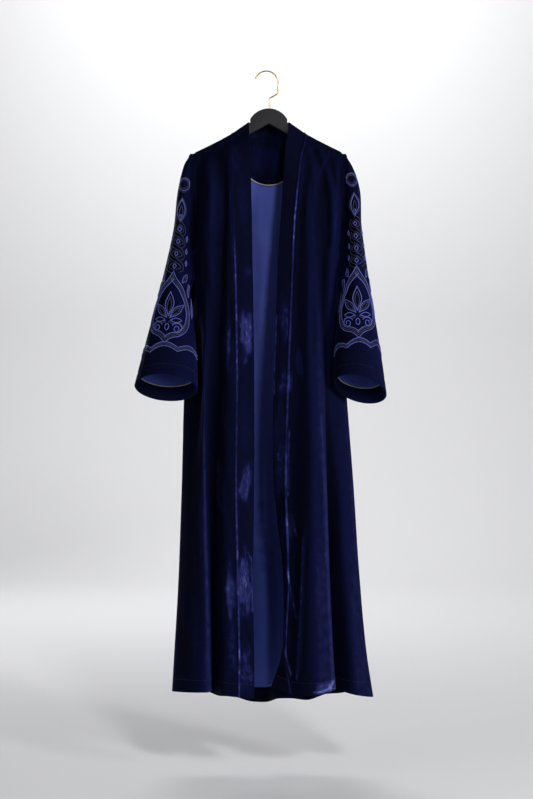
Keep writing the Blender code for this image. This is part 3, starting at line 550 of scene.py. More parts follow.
def ramp(material, factor, *stops):
    """Colour ramp of (place, colour) stops."""
    node = add_node(material, "ValToRGB", None, Fac=factor)
    elements = node.color_ramp.elements
    while len(elements) < len(stops):
        elements.new(0.5)
    for element, (place, value) in zip(elements, stops):
        element.position = place
        element.color = value
    return node.outputs["Color"]


# %% Velvet
TUFT = 2.5 * MM        # tufts are 0.3 mm: drawn coarser, so that they show as a faint grain
MOTTLE = 9.0 * MM      # patches of pile that lie one way
CRUSH = 26.0 * MM      # distance between the veins of crushed pile


def velvet(name, closed, deep, mid, pressed_pile, bright, gloss):
    """Cut pile, from closed over deep and mid to pressed_pile and bright. closed is painted shade for the
    troughs of the folds, and bright, for pile crushed flat, is partly painted highlight.

    The place on that scale is 0.75 crush x mottle + 0.5 x the painted light and shade of the folds + a
    faint lean of the tufts. Crushed pile is also glossier, down to the roughness gloss, and dented.
    """
    material, shader = new_material(name, Roughness=0.8, Sheen_Weight=0.24, Sheen_Roughness=0.3,
                                    Sheen_Tint=colour("3A46A8"), Specular_IOR_Level=0.17, IOR=1.45,
                                    Specular_Tint=colour("39439C"))
    uv = add_node(material, "TexCoord").outputs["UV"]
    stretched = add_node(material, "Mapping", {"Scale": (1.0, 0.45, 1.0)}, Vector=uv).outputs["Vector"]
    large = add_node(material, "TexNoise", {"Scale": 1 / CRUSH, "Detail": 2.0, "Distortion": 0.8},
                     Vector=stretched).outputs["Fac"]
    small = add_node(material, "TexNoise", {"Scale": 1 / MOTTLE, "Detail": 3.0, "Roughness": 0.6},
                     Vector=stretched).outputs["Fac"]
    grain = add_node(material, "TexNoise", {"Scale": 1 / TUFT, "Detail": 1.0}, Vector=uv).outputs["Fac"]
    # Crushed pile, whose lighter colour is partly painted highlight.
    pressed = add_node(material, "Attribute", {"attribute_name": "crush_and_highlight"}).outputs["Fac"]
    centred = add_node(material, "MapRange", {"From Min": 0.42, "From Max": 0.58, "To Min": -1.0},
                       Value=large).outputs["Result"]
    folded = add_node(material, "Math", {"operation": "ABSOLUTE"}, _0=centred).outputs["Value"]
    veins = add_node(material, "MapRange", {"From Max": 0.8, "To Min": 1.0, "To Max": 0.0},
                     Value=folded).outputs["Result"]
    clouds = add_node(material, "MapRange", {"From Min": 0.34, "From Max": 0.66},
                      Value=small).outputs["Result"]
    torn = add_node(material, "Mix", {"data_type": "FLOAT", "Factor": 0.5}, A=veins,
                    B=clouds).outputs["Result"]
    torn = add_node(material, "MapRange", {"To Min": 0.55}, Value=torn).outputs["Result"]
    level = add_node(material, "Math", {"operation": "MULTIPLY"}, _0=pressed, _1=torn).outputs["Value"]
    lean = add_node(material, "MapRange", {"From Min": 0.35, "From Max": 0.7, "To Max": 0.06},
                    Value=small).outputs["Result"]
    # Painted shade in the troughs and painted light on the ridges and right-facing slopes of the folds.
    light_and_shade = add_node(material, "Attribute", {"attribute_name": "painted_light_and_shade"}).outputs["Fac"]
    light_and_shade = add_node(material, "MapRange", {"To Max": 0.5}, Value=light_and_shade).outputs["Result"]
    mark = add_node(material, "MapRange", {"To Max": 0.75}, Value=level).outputs["Result"]
    total = add_node(material, "Math", {"operation": "ADD"}, _0=mark, _1=light_and_shade).outputs["Value"]
    total = add_node(material, "Math", {"operation": "ADD"}, _0=total, _1=lean).outputs["Value"]
    shades = [(0.25 * k, colour(code)) for k, code in enumerate((closed, deep, mid, pressed_pile, bright))]
    plug(material, shader, Base_Color=ramp(material, total, *shades))
    rough = add_node(material, "MapRange", {"To Min": 0.82, "To Max": gloss}, Value=level).outputs["Result"]
    plug(material, shader, Roughness=rough)
    relief = add_node(material, "Bump", {"Strength": 0.35, "Distance": 0.6 * MM},
                      Height=grain).outputs["Normal"]
    hollows = add_node(material, "Math", {"operation": "MULTIPLY"}, _0=small, _1=pressed).outputs["Value"]
    relief = add_node(material, "Bump", {"Strength": 0.9, "Distance": 4.0 * MM}, Height=hollows,
                      Normal=relief).outputs["Normal"]
    plug(material, shader, Normal=relief)
    return material


# Woven as two cloths face to face and cut apart. Its colour is near black as painted shade in the folds'
# troughs, and bluer as painted light on their ridges. Pressing flattens the band's pile, so it is a little
# darker and shines in its patches, whose lighter colour is partly painted highlight.
PILE = velvet("silk velvet, cut pile", "010104", "050612", "0A0D2A", "262A58", "5C629E", 0.42)
BAND_PILE = velvet("silk velvet, crushed by pressing", "020206", "060714", "0A0D2A", "26295A", "5C629E",
                   0.38)
print(PILE.name, "and", BAND_PILE.name)


# %% Satin, cord, thread, piping
YARN = 1.6 * MM        # satin's yarns are 0.1 mm: drawn coarser


def woven(name, base, shade, low, pitch, rough, **values):
    """Satin: floats along the cloth, over slow slubs. Painted shade from an attribute takes it to low."""
    material, shader = new_material(name, Roughness=rough, **values)
    uv = add_node(material, "TexCoord").outputs["UV"]
    wave = {"bands_direction": "X", "Scale": 0.314 / pitch, "Distortion": 1.5, "Detail": 2.0,
            "Detail Scale": 2.0}
    floats = add_node(material, "TexWave", wave, Vector=uv).outputs["Fac"]
    slubs = add_node(material, "TexNoise", {"Scale": 1 / (30 * MM), "Detail": 4.0}, Vector=uv).outputs["Fac"]
    mixed = add_node(material, "Mix", {"data_type": "FLOAT", "Factor": 0.7}, A=floats,
                     B=slubs).outputs["Result"]
    # Painted shade: an attribute takes the colour down towards low.
    turned = add_node(material, "Attribute", {"attribute_name": "turned"}).outputs["Fac"]
    turned = add_node(material, "MapRange", {"To Max": 0.8}, Value=turned).outputs["Result"]
    mixed = add_node(material, "Math", {"operation": "SUBTRACT"}, _0=mixed, _1=turned).outputs["Value"]
    plug(material, shader, Base_Color=ramp(material, mixed, (0.0, colour(low)), (0.2, colour(shade)),
                                           (0.8, colour(base))))
    plug(material, shader, Normal=add_node(material, "Bump", {"Strength": 0.2, "Distance": 0.2 * MM},
                                           Height=floats).outputs["Normal"])
    return material


def twisted(name, base, shade, pitch, rough, **values):
    """Cord laid up from plies: a slanted wave across the cord's own UV gives its valleys and its shade."""
    material, shader = new_material(name, Roughness=rough, **values)
    uv = add_node(material, "TexCoord").outputs["UV"]
    turned = add_node(material, "Mapping", {"Rotation": (0, 0, math.radians(38))},
                      Vector=uv).outputs["Vector"]
    plies = add_node(material, "TexWave", {"bands_direction": "X", "Scale": 0.314 / pitch},
                     Vector=turned).outputs["Fac"]
    plug(material, shader, Base_Color=ramp(material, plies, (0.1, colour(shade)), (0.7, colour(base))))
    plug(material, shader, Normal=add_node(material, "Bump", {"Strength": 0.6, "Distance": 0.4 * MM},
                                           Height=plies).outputs["Normal"])
    return material


# Woven with long floats of filament: smooth, with a broad soft shine. Its low colour is painted shade,
# darker towards the bottom of the back and inside the sleeves.
SATIN_LINING = woven("polyester satin, slate blue", "434E96", "3B458B", "28336E", YARN, 0.55,
                     Anisotropic=0.3, Specular_IOR_Level=0.3, Specular_Tint=colour("8E9AE6"),
                     Sheen_Weight=0.1, Sheen_Tint=colour("8E9AE6"))
# Both cords are laid up from plies. Rayon is bright on each ply, and cotton is dull and reads as a shadow.
CORD_BLUE = twisted("rayon cord, periwinkle", "4E58B0", "262D7A", 2.6 * MM, 0.45, Sheen_Weight=0.2,
                    Sheen_Tint=colour("C8CCFF"))
CORD_TAUPE = twisted("cotton cord, taupe", "2A2A42", "17172A", 2.0 * MM, 0.6, Sheen_Weight=0.1)
# Cut on the bias and sewn round a core: its weave slants, and it stays pale even in the shade.
PIPING = twisted("satin piping, pale grey", "A9A79C", "8A887F", 3.0 * MM, 0.5, Sheen_Weight=0.2)
# The same satin piping in a darker grey: painted shade for its place inside the cuff.
SHADED_CUFF_PIPING = twisted("satin piping, grey, with painted shade", "74746F", "5A5A57", 3.0 * MM, 0.5, Sheen_Weight=0.1)
# Spun thread with hardly a shine: it shows only where it crosses the dark pile.
THREAD = twisted("polyester thread, navy", "0C0F30", "070A20", 0.8 * MM, 0.6, Sheen_Weight=0.1)
print("cords:", CORD_BLUE.name, "/", CORD_TAUPE.name, "/", PIPING.name)


# %% Hanger and wire
def moulded(name, base, shade, rough):
    """Moulded plastic with a matt coat: fine orange peel from noise, and rubbed places a little smoother."""
    material, shader = new_material(name, Roughness=rough, IOR=1.5, Specular_IOR_Level=0.22)
    place = add_node(material, "TexCoord").outputs["Object"]
    wear = add_node(material, "TexNoise", {"Scale": 1 / (40 * MM), "Detail": 3.0},
                    Vector=place).outputs["Fac"]
    peel = add_node(material, "TexNoise", {"Scale": 1 / (0.9 * MM), "Detail": 1.0},
                    Vector=place).outputs["Fac"]
    plug(material, shader, Base_Color=ramp(material, wear, (0.3, colour(shade)), (0.75, colour(base))))
    rubbed = add_node(material, "MapRange", {"To Min": rough - 0.08, "To Max": rough + 0.1},
                      Value=wear).outputs["Result"]
    plug(material, shader, Roughness=rubbed)
    plug(material, shader, Normal=add_node(material, "Bump", {"Strength": 0.25, "Distance": 0.1 * MM},
                                           Height=peel).outputs["Normal"])
    return material


def drawn_wire(name, base, shade, rough):
    """Drawn and plated wire: a metal with faint streaks along its length."""
    material, shader = new_material(name, Metallic=1.0, Roughness=rough)
    uv = add_node(material, "TexCoord").outputs["UV"]
    streaks = add_node(material, "Mapping", {"Scale": (1.0, 0.04, 1.0)}, Vector=uv).outputs["Vector"]
    lines = add_node(material, "TexNoise", {"Scale": 1 / (0.6 * MM), "Detail": 2.0},
                     Vector=streaks).outputs["Fac"]
    plug(material, shader, Base_Color=ramp(material, lines, (0.3, colour(shade)), (0.7, colour(base))))
    drawn = add_node(material, "MapRange", {"To Min": rough - 0.06, "To Max": rough + 0.1},
                     Value=lines).outputs["Result"]
    plug(material, shader, Roughness=drawn)
    return material


# Moulded and sprayed with a soft coat: dark, with a wide dull highlight and no reflections.
HANGER_COAT = moulded("ABS, soft matt coat", "19191C", "131315", 0.6)
# Drawn through a die, bent and plated: a warm metal with narrow highlights along the wire.
WIRE = drawn_wire("steel wire, brass plated", "D9A95A", "B98A3E", 0.24)
print("hard parts:", HANGER_COAT.name, "/", WIRE.name)


# %% [markdown]
# ## Creases and crushed patches
# Velvet that has been folded keeps soft troughs where it was bent, and shiny marks where its pile was
# pressed; their lighter colour is partly painted highlight. A simulation would give creases somewhere, but
# not where this garment has them, so each one is listed: a short line with a width and a depth for a trough
# or a ridge, and an ellipse for a crushed patch.
# %% Fields on the cloth
def along_line(x, z, line, width):
    """Closeness to a polyline: exp(-(distance / width)^2), the nearest of its stretches."""
    near = np.zeros_like(x)
    for (x0, z0), (x1, z1) in zip(line, line[1:]):
        length = math.hypot(x1 - x0, z1 - z0)
        share = np.clip(((x - x0) * (x1 - x0) + (z - z0) * (z1 - z0)) / length**2, 0, 1)
        distance = np.hypot(x - x0 - share * (x1 - x0), z - z0 - share * (z1 - z0))
        near = np.maximum(near, np.exp(-(distance / width) ** 2))
    return near


def creased(grid, creases, side):
    """Move the cloth out by the sum of its creases: (depth, width, line). A trough has a negative depth."""
    push = np.zeros(grid.shape[:2])
    for depth, width, line in creases:
        push += depth * along_line(grid[..., 0], grid[..., 2], line, width)
    moved = grid.copy()
    moved[..., 1] += side * push
    return moved


CELLS, CELL_SHIFT = 64, 1000    # random values each way, and a shift that keeps the places above zero


def cloudy(x, z, size_x, size_z, seed):
    """Smooth noise from -1 to 1: random values at points size_x by size_z apart, eased between them."""
    lattice = np.random.default_rng(seed).uniform(-1, 1, (CELLS, CELLS))
    u, v = x / size_x + CELL_SHIFT, z / size_z + CELL_SHIFT
    low_u, low_v = np.floor(u).astype(int), np.floor(v).astype(int)
    s, t = ease(u - low_u), ease(v - low_v)
    return weighted(lattice, low_u % CELLS, (low_u + 1) % CELLS, low_v % CELLS, (low_v + 1) % CELLS, s, t)


def crushed(grid, patches, lines):
    """Crush and painted highlight, 0 to 1: how far the pile is pressed, and how strongly its lighter colour
    stands in for a highlight. Ellipses (strength, x, z, half width, half height), then lines.

    An ellipse fades between 0.55 and 1.45 of its size, torn by noise. Lines are broken along their length.
    """
    x, z = grid[..., 0], grid[..., 2]
    torn = 0.4 * cloudy(x, z, 14, 34, 3) + 0.2 * cloudy(x, z, 6, 14, 4)
    brushed = 0.86 + 0.14 * cloudy(x, z, 2.4, 46, 9)
    level = np.zeros(grid.shape[:2])
    for strength, middle_x, middle_z, half_width, half_height in patches:
        distance = np.hypot((x - middle_x) / half_width, (z - middle_z) / half_height)
        level = np.maximum(level, strength * brushed * ease((1.45 - distance + torn) / 0.9))
    broken = 0.75 + 0.25 * cloudy(x, z, 30, 9, 5)
    for strength, width, line in lines:
        level = np.maximum(level, strength * broken * along_line(x, z, line, width))
    return level


SETTLE_HEIGHT, SETTLE_WAVES, SETTLE_FADE = 0.7, 5, 25


def settle(grid, seed):
    """Small unevenness of hung cloth, in mm: waves 35 to 90 mm across and 180 to 420 mm down, summed.

    Their sizes and places are seeded draws, and they fade out before every edge.
    """
    waves = np.random.default_rng(seed)
    across, down = np.meshgrid(run_lengths(grid, 1), run_lengths(grid, 0))
    total = np.zeros(grid.shape[:2])
    for _ in range(SETTLE_WAVES):
        long_way, short_way = waves.uniform(180, 420), waves.uniform(35, 90)
        turn = waves.uniform(0, 2 * np.pi)
        total += np.sin(2 * np.pi * (across / short_way + down / long_way) + turn)
    inset = np.minimum(np.minimum(across, across.max() - across), np.minimum(down, down.max() - down))
    return SETTLE_HEIGHT / 3 * total * ease(inset / SETTLE_FADE)


print("creases fade over their width, and patches over about half of theirs")


# %% [markdown]
# ## The fronts and their bands
# Each front is one panel, and a band about 47 mm wide is sewn to its edge from the neck to the hem. The
# seam stands up as a rib, and the pile along it is pressed; a painted highlight makes it shine as a thin
# broken line. The band is pressed flat over its facing, which is what crushed its pile in patches, and their
# lighter colour is partly painted highlight. Its grid is finer than the panel's, because of that rib.
# %% Creases on the fronts
# (depth, width, line), in mm: a ridge comes towards the viewer, a trough has a negative depth.
LEFT_CREASES = [
    (-3.2, 9, [(-166, -224), (-154, -290), (-150, -400), (-151, -520)]),
    (2.4, 8, [(-143, -214), (-136, -300), (-139, -380)]),
    (-2.6, 8, [(-121, -205), (-116, -300), (-121, -430)]),
    (1.8, 6, [(-108, -196), (-104, -280)]),
    (-1.6, 6, [(-92, -560), (-88, -640), (-93, -720)]),
    (1.6, 5, [(-119, -930), (-121, -1000), (-119, -1040), (-109, -1066)]),
    (-2.0, 9, [(-176, -760), (-182, -920), (-184, -1120)]),
    (1.8, 10, [(-190, -880), (-197, -1080), (-203, -1300)]),
    (-1.8, 8, [(-166, -1180), (-165, -1330), (-167, -1480)]),
    (1.4, 5, [(-96, -1170), (-99, -1250), (-93, -1330)]),
    (-1.5, 5, [(-60, -1325), (-48, -1372), (-40, -1400)]),
    (-1.2, 4, [(-70, -700), (-56, -720), (-44, -706)]),
    (1.2, 4, [(-66, -655), (-54, -668), (-43, -650)]),
]
RIGHT_CREASES = [
    (-3.6, 9, [(112, -196), (134, -258), (143, -330), (143, -430)]),
    (3.0, 9, [(130, -204), (152, -286), (157, -380)]),
    (-2.8, 7, [(152, -218), (166, -300), (168, -390)]),
    (2.2, 7, [(98, -190), (112, -262), (116, -350)]),
    (-1.8, 7, [(104, -420), (107, -560), (106, -690)]),
    (1.8, 4, [(50, -875), (48, -960), (47, -1030)]),
    (2.0, 4, [(55, -1075), (61, -1100), (66, -1127)]),
    (2.2, 4, [(45, -1200), (54, -1260), (66, -1321)]),
    (2.0, 4, [(38, -1200), (28, -1271), (40, -1309), (35, -1345)]),
    (2.0, 4, [(38, -1392), (46, -1425), (54, -1456)]),
    (1.6, 4, [(35, -1392), (28, -1425)]),
    (1.8, 5, [(83, -1110), (77, -1295), (68, -1466)]),
    (-1.8, 6, [(90, -1150), (86, -1300), (80, -1450)]),
    (-2.0, 10, [(190, -760), (204, -960), (216, -1200)]),
    (1.8, 11, [(214, -1000), (228, -1200), (240, -1420)]),
    (-1.6, 8, [(118, -980), (124, -1150), (126, -1300)]),
]
# (strength, x, z, half width, half height) of crushed patches, whose lighter colour is partly painted
# highlight, and (strength, width, line) of lines of painted highlight on glossier pressed pile, along crease
# ridges and fold edges.
LEFT_PATCHES = [
    (0.28, -82, -217, 12, 40), (0.42, -48, -494, 10, 14), (0.8, -52, -652, 19, 48),
    (0.44, -99, -681, 13, 54), (0.2, -60, -330, 14, 60), (0.66, -56, -1003, 14, 50),
    (0.24, -110, -1000, 8, 60), (0.76, -55, -1239, 18, 62), (0.6, -90, -1246, 12, 58),
    (0.48, -54, -1440, 17, 70), (0.32, -88, -1400, 12, 60), (0.2, -56, -850, 14, 60),
]
# Lines of painted highlight along the left front's crease ridges and fold edges.
LEFT_HIGHLIGHT_LINES = [
    (0.8, 2.4, [(-119, -950), (-121, -1000), (-119, -1040), (-109, -1066)]),
    (0.85, 3.4, [(-48, -1166), (-40, -1182), (-37, -1240), (-38, -1306)]),
    (0.5, 2.4, [(-65, -1172), (-66, -1240), (-64, -1300)]),
    (0.15, 3.0, [(-155, -875), (-147, -1184), (-140, -1492)]),
    (0.3, 2.2, [(-108, -560), (-105, -640), (-106, -760), (-108, -900)]),
    (0.35, 3.0, [(-107, -838), (-102, -850), (-105, -868)]),
]
RIGHT_PATCHES = [
    (0.54, 41, -619, 12, 60), (0.6, 39, -755, 14, 34), (0.44, 75, -718, 8, 28), (0.58, 32, -962, 15, 76),
    (0.6, 43, -1104, 12, 54), (0.4, 30, -870, 14, 60), (0.36, 37, -1290, 14, 100), (0.5, 138, -1484, 24, 12),
    (0.15, 85, -260, 12, 50),
]
# Lines of painted highlight along the right front's crease ridges and fold edges.
RIGHT_HIGHLIGHT_LINES = [
    (0.9, 2.2, [(50, -875), (48, -960), (47, -1030)]),
    (0.8, 2.2, [(55, -1075), (61, -1100), (66, -1127)]),
    (0.9, 2.2, [(45, -1200), (54, -1260), (66, -1321)]),
    (0.9, 2.2, [(38, -1200), (28, -1271), (40, -1309), (35, -1345)]),
    (0.9, 2.2, [(38, -1392), (46, -1425), (54, -1456)]),
    (0.8, 2.2, [(35, -1392), (28, -1425)]),
    (0.6, 2.4, [(83, -1127), (77, -1295), (68, -1466)]),
    # Painted highlight along the edge of the right front's big fold.
    (0.16, 2.6, [(126, -840), (135, -1000)]), (0.3, 2.6, [(135, -1000), (143, -1260), (155, -1490)]),
    (1.0, 2.4, [(20, -600), (17, -680), (14, -740), (14, -790)]),
    # Painted highlight along the hem of the right front.
    (1.0, 4.0, [(112, -1494), (136, -1490), (148, -1484), (154, -1470)]),
]
# Height and strength of the painted highlight along each band's seam.
LEFT_SEAM_SHINE = [(-170, 0.2), (-400, 0.35), (-440, 0.95), (-700, 1.0), (-780, 0.6), (-960, 0.7),
                   (-1080, 1.0), (-1515, 1.0)]
RIGHT_SEAM_SHINE = [(-170, 0.15), (-270, 0.25), (-300, 1.0), (-430, 0.95), (-480, 0.3), (-560, 0.5),
                    (-1030, 0.5), (-1100, 0.4), (-1505, 0.35)]
print(len(LEFT_CREASES) + len(RIGHT_CREASES), "creases on the fronts")

# %% Front panels
RIB_HEIGHT, RIB_HALF_WIDTH, RIB_SHARPNESS = 1.8, 3.0, 0.6
BAND_STEP, PANEL_STEP, CREASE_STEP, ROW_STEP = 1.8, 4.6, 2.3, 4.4
EDGE_STEP, TURN_STEP = 2.0, 3.0         # columns at a seam, and rows over the hanger
CREASED_WIDTH = 46.0           # stretch beside the band's seam that has the fine creases
SHINE_WIDTH = 2.6              # half width of the shine along the rib


def front_grids(table):
    """Fine grids of the panel and the band, the places of the band's columns, and that of its rib."""
    knots = fold_knots(table)
    seam = fold_number(table, "band seam")
    rib = knots[seam] - SEAM_ALLOWANCE - RIB_HALF_WIDTH
    foot = rib - RIB_HALF_WIDTH
    band_places = places_between(knots, 0, seam)
    band_places = band_places[band_places < foot - RIB_HALF_WIDTH]
    band_places = np.append(band_places, [foot, rib, knots[seam] - SEAM_ALLOWANCE, knots[seam]])
    panel_places = places_between(knots, seam, len(table) - 1)
    panel_places = np.insert(panel_places, 1, knots[seam] + SEAM_ALLOWANCE)
    band, panel = (body_sheet(table, -1, places, ROWS) for places in (band_places, panel_places))
    along = unit(panel[:, 1] - band[:, -2])
    band[:, -2] = panel[:, 0] - along * SEAM_ALLOWANCE
    panel[:, 1] = panel[:, 0] + along * SEAM_ALLOWANCE
    band[:, -1] -= along * GAP / 2
    panel[:, 0] += along * GAP / 2
    down = run_lengths(panel, 0)
    rows = spaced((down[0], down[TURN_END], TURN_STEP), (down[TURN_END], down[-1], ROW_STEP))
    columns = spaced((band_places[0], band_places[-1], BAND_STEP))
    fine_band = refine(band, band_places, down, columns, rows)
    first, last = panel_places[0], panel_places[-1]
    fine_end = first + CREASED_WIDTH
    wide = spaced((first, panel_places[1], EDGE_STEP), (panel_places[1], fine_end, CREASE_STEP),
                  (fine_end, panel_places[-2], PANEL_STEP), (panel_places[-2], last, EDGE_STEP))
    return refine(panel, panel_places, down, wide, rows), fine_band, columns, rib


UNDERARM_MIDDLE_Z, UNDERARM_REACH = -458.0, 20.0
UNDERARM_START_Z, UNDERARM_START_FADE = -437.0, 10.0
UNDERARM_INNER_X, UNDERARM_SIDE_FADE = 150.0, 36.0


def filled_underarm(grid):
    """Sides pushed out below the armholes by a bell about a height, which fades upwards and inwards."""
    x, z = grid[..., 0], grid[..., 2]
    moved = grid.copy()
    bell = np.exp(-((z - UNDERARM_MIDDLE_Z) / UNDERARM_REACH) ** 2)
    bell = bell * ease((UNDERARM_START_Z - z) / UNDERARM_START_FADE)
    bell = bell * ease((np.abs(x) - UNDERARM_INNER_X) / UNDERARM_SIDE_FADE)
    moved[..., 0] += np.sign(x) * UNDERARM_FULLNESS * bell
    return moved


def make_front(word, table, creases, patches, lines, seam_shine, seed):
    """Front panel and band of one side, with their creases pressed in along the depth of the garment."""
    panel, band, columns, rib = front_grids(table)
    panel, band = (creased(part, creases, -1) for part in (panel, band))
    panel[..., 1] -= settle(panel, seed)
    panel = filled_underarm(panel)
    # Painted highlight along the rib, broken by noise, kept with the crushed patches.
    heights, strengths = np.array(seam_shine).T
    x, z = band[..., 0], band[..., 2]
    shine = np.interp(z, heights[::-1], strengths[::-1]) * np.exp(-((columns - rib) / SHINE_WIDTH) ** 2)
    shine *= 0.75 + 0.15 * cloudy(x, z, 60, 9, 6) + 0.1 * cloudy(x, z, 60, 40, 8)
    band_crush_and_highlight = np.maximum(crushed(band, patches, lines), shine)
    panel_crush_and_highlight = crushed(panel, patches, lines)
    if table[0][1] < 0:
        panel, band, columns = panel[:, ::-1], band[:, ::-1], columns[::-1]
        panel_crush_and_highlight, band_crush_and_highlight = panel_crush_and_highlight[:, ::-1], band_crush_and_highlight[:, ::-1]
    rise = RIB_HEIGHT * np.exp(-((columns - rib) / (RIB_SHARPNESS * RIB_HALF_WIDTH)) ** 2)
    band = band + grid_normals(band) * rise[None, :, None]
    panel_piece = cloth("velvet_front_" + word, panel, VELVET, PILE, inside=SATIN_LINING,
                        attributes={"crush_and_highlight": panel_crush_and_highlight})
    band_piece = cloth("velvet_band_" + word, band, VELVET, BAND_PILE, attributes={"crush_and_highlight": band_crush_and_highlight})
    declare(panel_piece, "front_" + word)
    declare(band_piece, "band_" + word)
    return panel, band


front_left, band_left = make_front("left", LEFT_FRONT, LEFT_CREASES, LEFT_PATCHES, LEFT_HIGHLIGHT_LINES,
                                   LEFT_SEAM_SHINE, seed=11)
front_right, band_right = make_front("right", RIGHT_FRONT, RIGHT_CREASES, RIGHT_PATCHES, RIGHT_HIGHLIGHT_LINES,
                                     RIGHT_SEAM_SHINE, seed=12)

# %% [markdown]
# ## The back, its lining and the hem facing
# The back hangs in folds that widen to the hem. Its satin lining lies inside on the same folds and stops at
# a dark velvet facing, which weights the hem. Both are made from the back's own grid, moved inwards along
# its normals, so they can't cut through it anywhere.
# %% Creases on the back
BACK_CREASES = [
    (-3.0, 10, [(-150, -220), (-128, -320), (-120, -450)]),
    (2.4, 9, [(-120, -210), (-104, -320), (-98, -460)]),
    (-2.6, 10, [(152, -222), (132, -330), (124, -470)]),
    (2.2, 9, [(122, -212), (106, -330), (100, -480)]),
    (-1.8, 8, [(-30, -230), (-26, -420), (-24, -640)]),
    (1.6, 8, [(36, -240), (33, -430), (34, -600)]),
    (-2.2, 10, [(70, -700), (74, -960), (78, -1250)]),
    (2.0, 9, [(-70, -760), (-66, -1010), (-64, -1300)]),
    (-1.8, 8, [(-138, -900), (-144, -1180), (-148, -1440)]),
    (1.8, 9, [(160, -860), (172, -1120), (182, -1400)]),
    (1.4, 6, [(20, -560), (-14, -590), (-46, -585)]),
    (-1.4, 6, [(50, -640), (16, -668), (-20, -662)]),
]
# Crushed patches of the back; their lighter colour is partly painted highlight.
BACK_PATCHES = [
    (0.45, -8, -600, 46, 22), (0.35, 30, -668, 40, 16), (0.5, -86, -1180, 12, 120),
    (0.4, 58, -1240, 12, 130), (0.5, 126, -1320, 12, 110), (0.35, -152, -1300, 12, 100),
    (0.4, 14, -1490, 60, 22),
]
# Seen through the open front, the lining has its own soft ease folds.
LINING_CREASES = [
    (12.0, 30, [(4, -430), (2, -640), (4, -1000), (6, -1180)]),
    (2.4, 9, [(-16, -300), (-14, -640), (-6, -1000), (-4, -1470)]),
    (1.6, 8, [(20, -330), (22, -700), (24, -1100), (26, -1400)]),
    (1.2, 8, [(-38, -420), (-36, -900), (-30, -1300)]),
]

# %% Back panel, lining, hem facing
BACK_STEP, BACK_ROW_STEP, FACING_ROW_STEP = 5.6, 6.2, 6.0
FREE_COLUMNS = 5               # columns free at each side seam, where front and back close on each other
LINING_SHADE_Z, LINING_SHADE_FADE = -880.0, 520.0
back_knots = fold_knots(BACK)
BACK_CORNERS = [fold_number(BACK, "left neck ridge"), fold_number(BACK, "right inner valley")]
back_places = places_between(back_knots, 0, len(BACK) - 1, BACK_CORNERS)
back_hem = smooth_through(back_knots, [row[4] for row in BACK], back_places)
coarse = body_sheet(BACK, 1, back_places, ROWS + [HEM_FACING_ROW])
coarse[-2, :, 2] = back_hem + HEM_FACING_HEIGHT
down = run_lengths(coarse, 0)
back_rows = spaced((down[0], down[TURN_END], TURN_STEP), (down[TURN_END], down[-2], BACK_ROW_STEP),
                   (down[-2], down[-1], FACING_ROW_STEP))
back_columns = spaced((back_places[0], back_places[1], EDGE_STEP),
                      (back_places[1], back_places[-2], BACK_STEP),
                      (back_places[-2], back_places[-1], EDGE_STEP))
back = refine(coarse, back_places, down, back_columns, back_rows)
back = creased(back, BACK_CREASES, 1)
back[..., 1] += settle(back, seed=13)
back = filled_underarm(back)
back = back[:, ::-1]

lining_top = int(np.searchsorted(back_rows, down[TURN_END] - 0.01))
facing_top = int(np.searchsorted(back_rows, down[-2] - 0.01))
inwards = grid_normals(back)
lining = back - inwards * (VELVET / 2 + GAP + SATIN / 2)
lining = lining[lining_top:facing_top + 1, FREE_COLUMNS:-FREE_COLUMNS]
lining[-1, :, 2] += GAP
lining = creased(lining, LINING_CREASES, -1)
hem = (back - inwards * (VELVET / 2 + GAP + FACING / 2))[facing_top:, FREE_COLUMNS:-FREE_COLUMNS]

back_piece = cloth("velvet_back", back, VELVET, PILE, attributes={"crush_and_highlight": crushed(back, BACK_PATCHES, [])})
# Painted shade: the lining's colour goes darker towards the bottom.
lining_piece = cloth("satin_back_lining", lining, SATIN, SATIN_LINING,
                     attributes={"turned": ease((LINING_SHADE_Z - lining[..., 2]) / LINING_SHADE_FADE)})
hem_piece = cloth("velvet_hem_facing", hem, FACING, PILE)
declare(back_piece, "back_panel")
declare(lining_piece, "back_lining")
declare(hem_piece, "hem_facing")

# %% [markdown]
# ## The neck
# The band runs on round the back neck as a standing strip. Inside the back lies a half-moon facing of
# velvet, which covers the seam, and a pale piping edges its round side. The facing has the back's own
# curve, read at its columns and moved inwards, so that it lies on the lining.
# %% Neck band, facing and piping
NECK_SEAM_GAP = 0.5
FACING_RADIUS, FACING_CENTRE_Z, FACING_EASE, FACING_ENDS = 72.0, -200.0, 2.1, 8.0
FACING_RISE = 3.0              # its top edge covers the neck seam
PIPING_RADIUS, PIPING_ROOM = 1.3, 2.4
NECK_STEP, NECK_ROWS = 2.4, 15
FACING_ROWS, FACING_COLUMNS, UNDER_ROWS, UNDER_STEP, DENSE_COLUMNS = 27, 61, 8, 4.0, 400
# Crushed patches of the neck band and facing; their lighter colour is partly painted highlight.
NECK_PATCHES = [(0.5, 40, -150, 24, 16), (0.4, -50, -152, 18, 14)]
FACING_PATCHES = [(0.35, 0, -210, 40, 30)]

neck_columns = spaced((back_knots[BACK_CORNERS[0]], back_knots[BACK_CORNERS[1]], NECK_STEP))
neck_x = smooth_through(back_knots, [row[1] for row in BACK], neck_columns)
neck_seam, neck_edge = neck_lines(neck_x)
neck_seam[[0, -1], 1] = neck_edge[[0, -1], 1] = 2 * GAP
neck_seam -= unit(neck_seam - neck_edge) * NECK_SEAM_GAP
share = np.linspace(0, 1, NECK_ROWS)[:, None, None]
neck = (1 - share) * neck_edge[None] + share * neck_seam[None]
neck_piece = cloth("velvet_neck_band", neck, VELVET, BAND_PILE,
                   attributes={"crush_and_highlight": crushed(neck, NECK_PATCHES, [])})
declare(neck_piece, "neck_band")

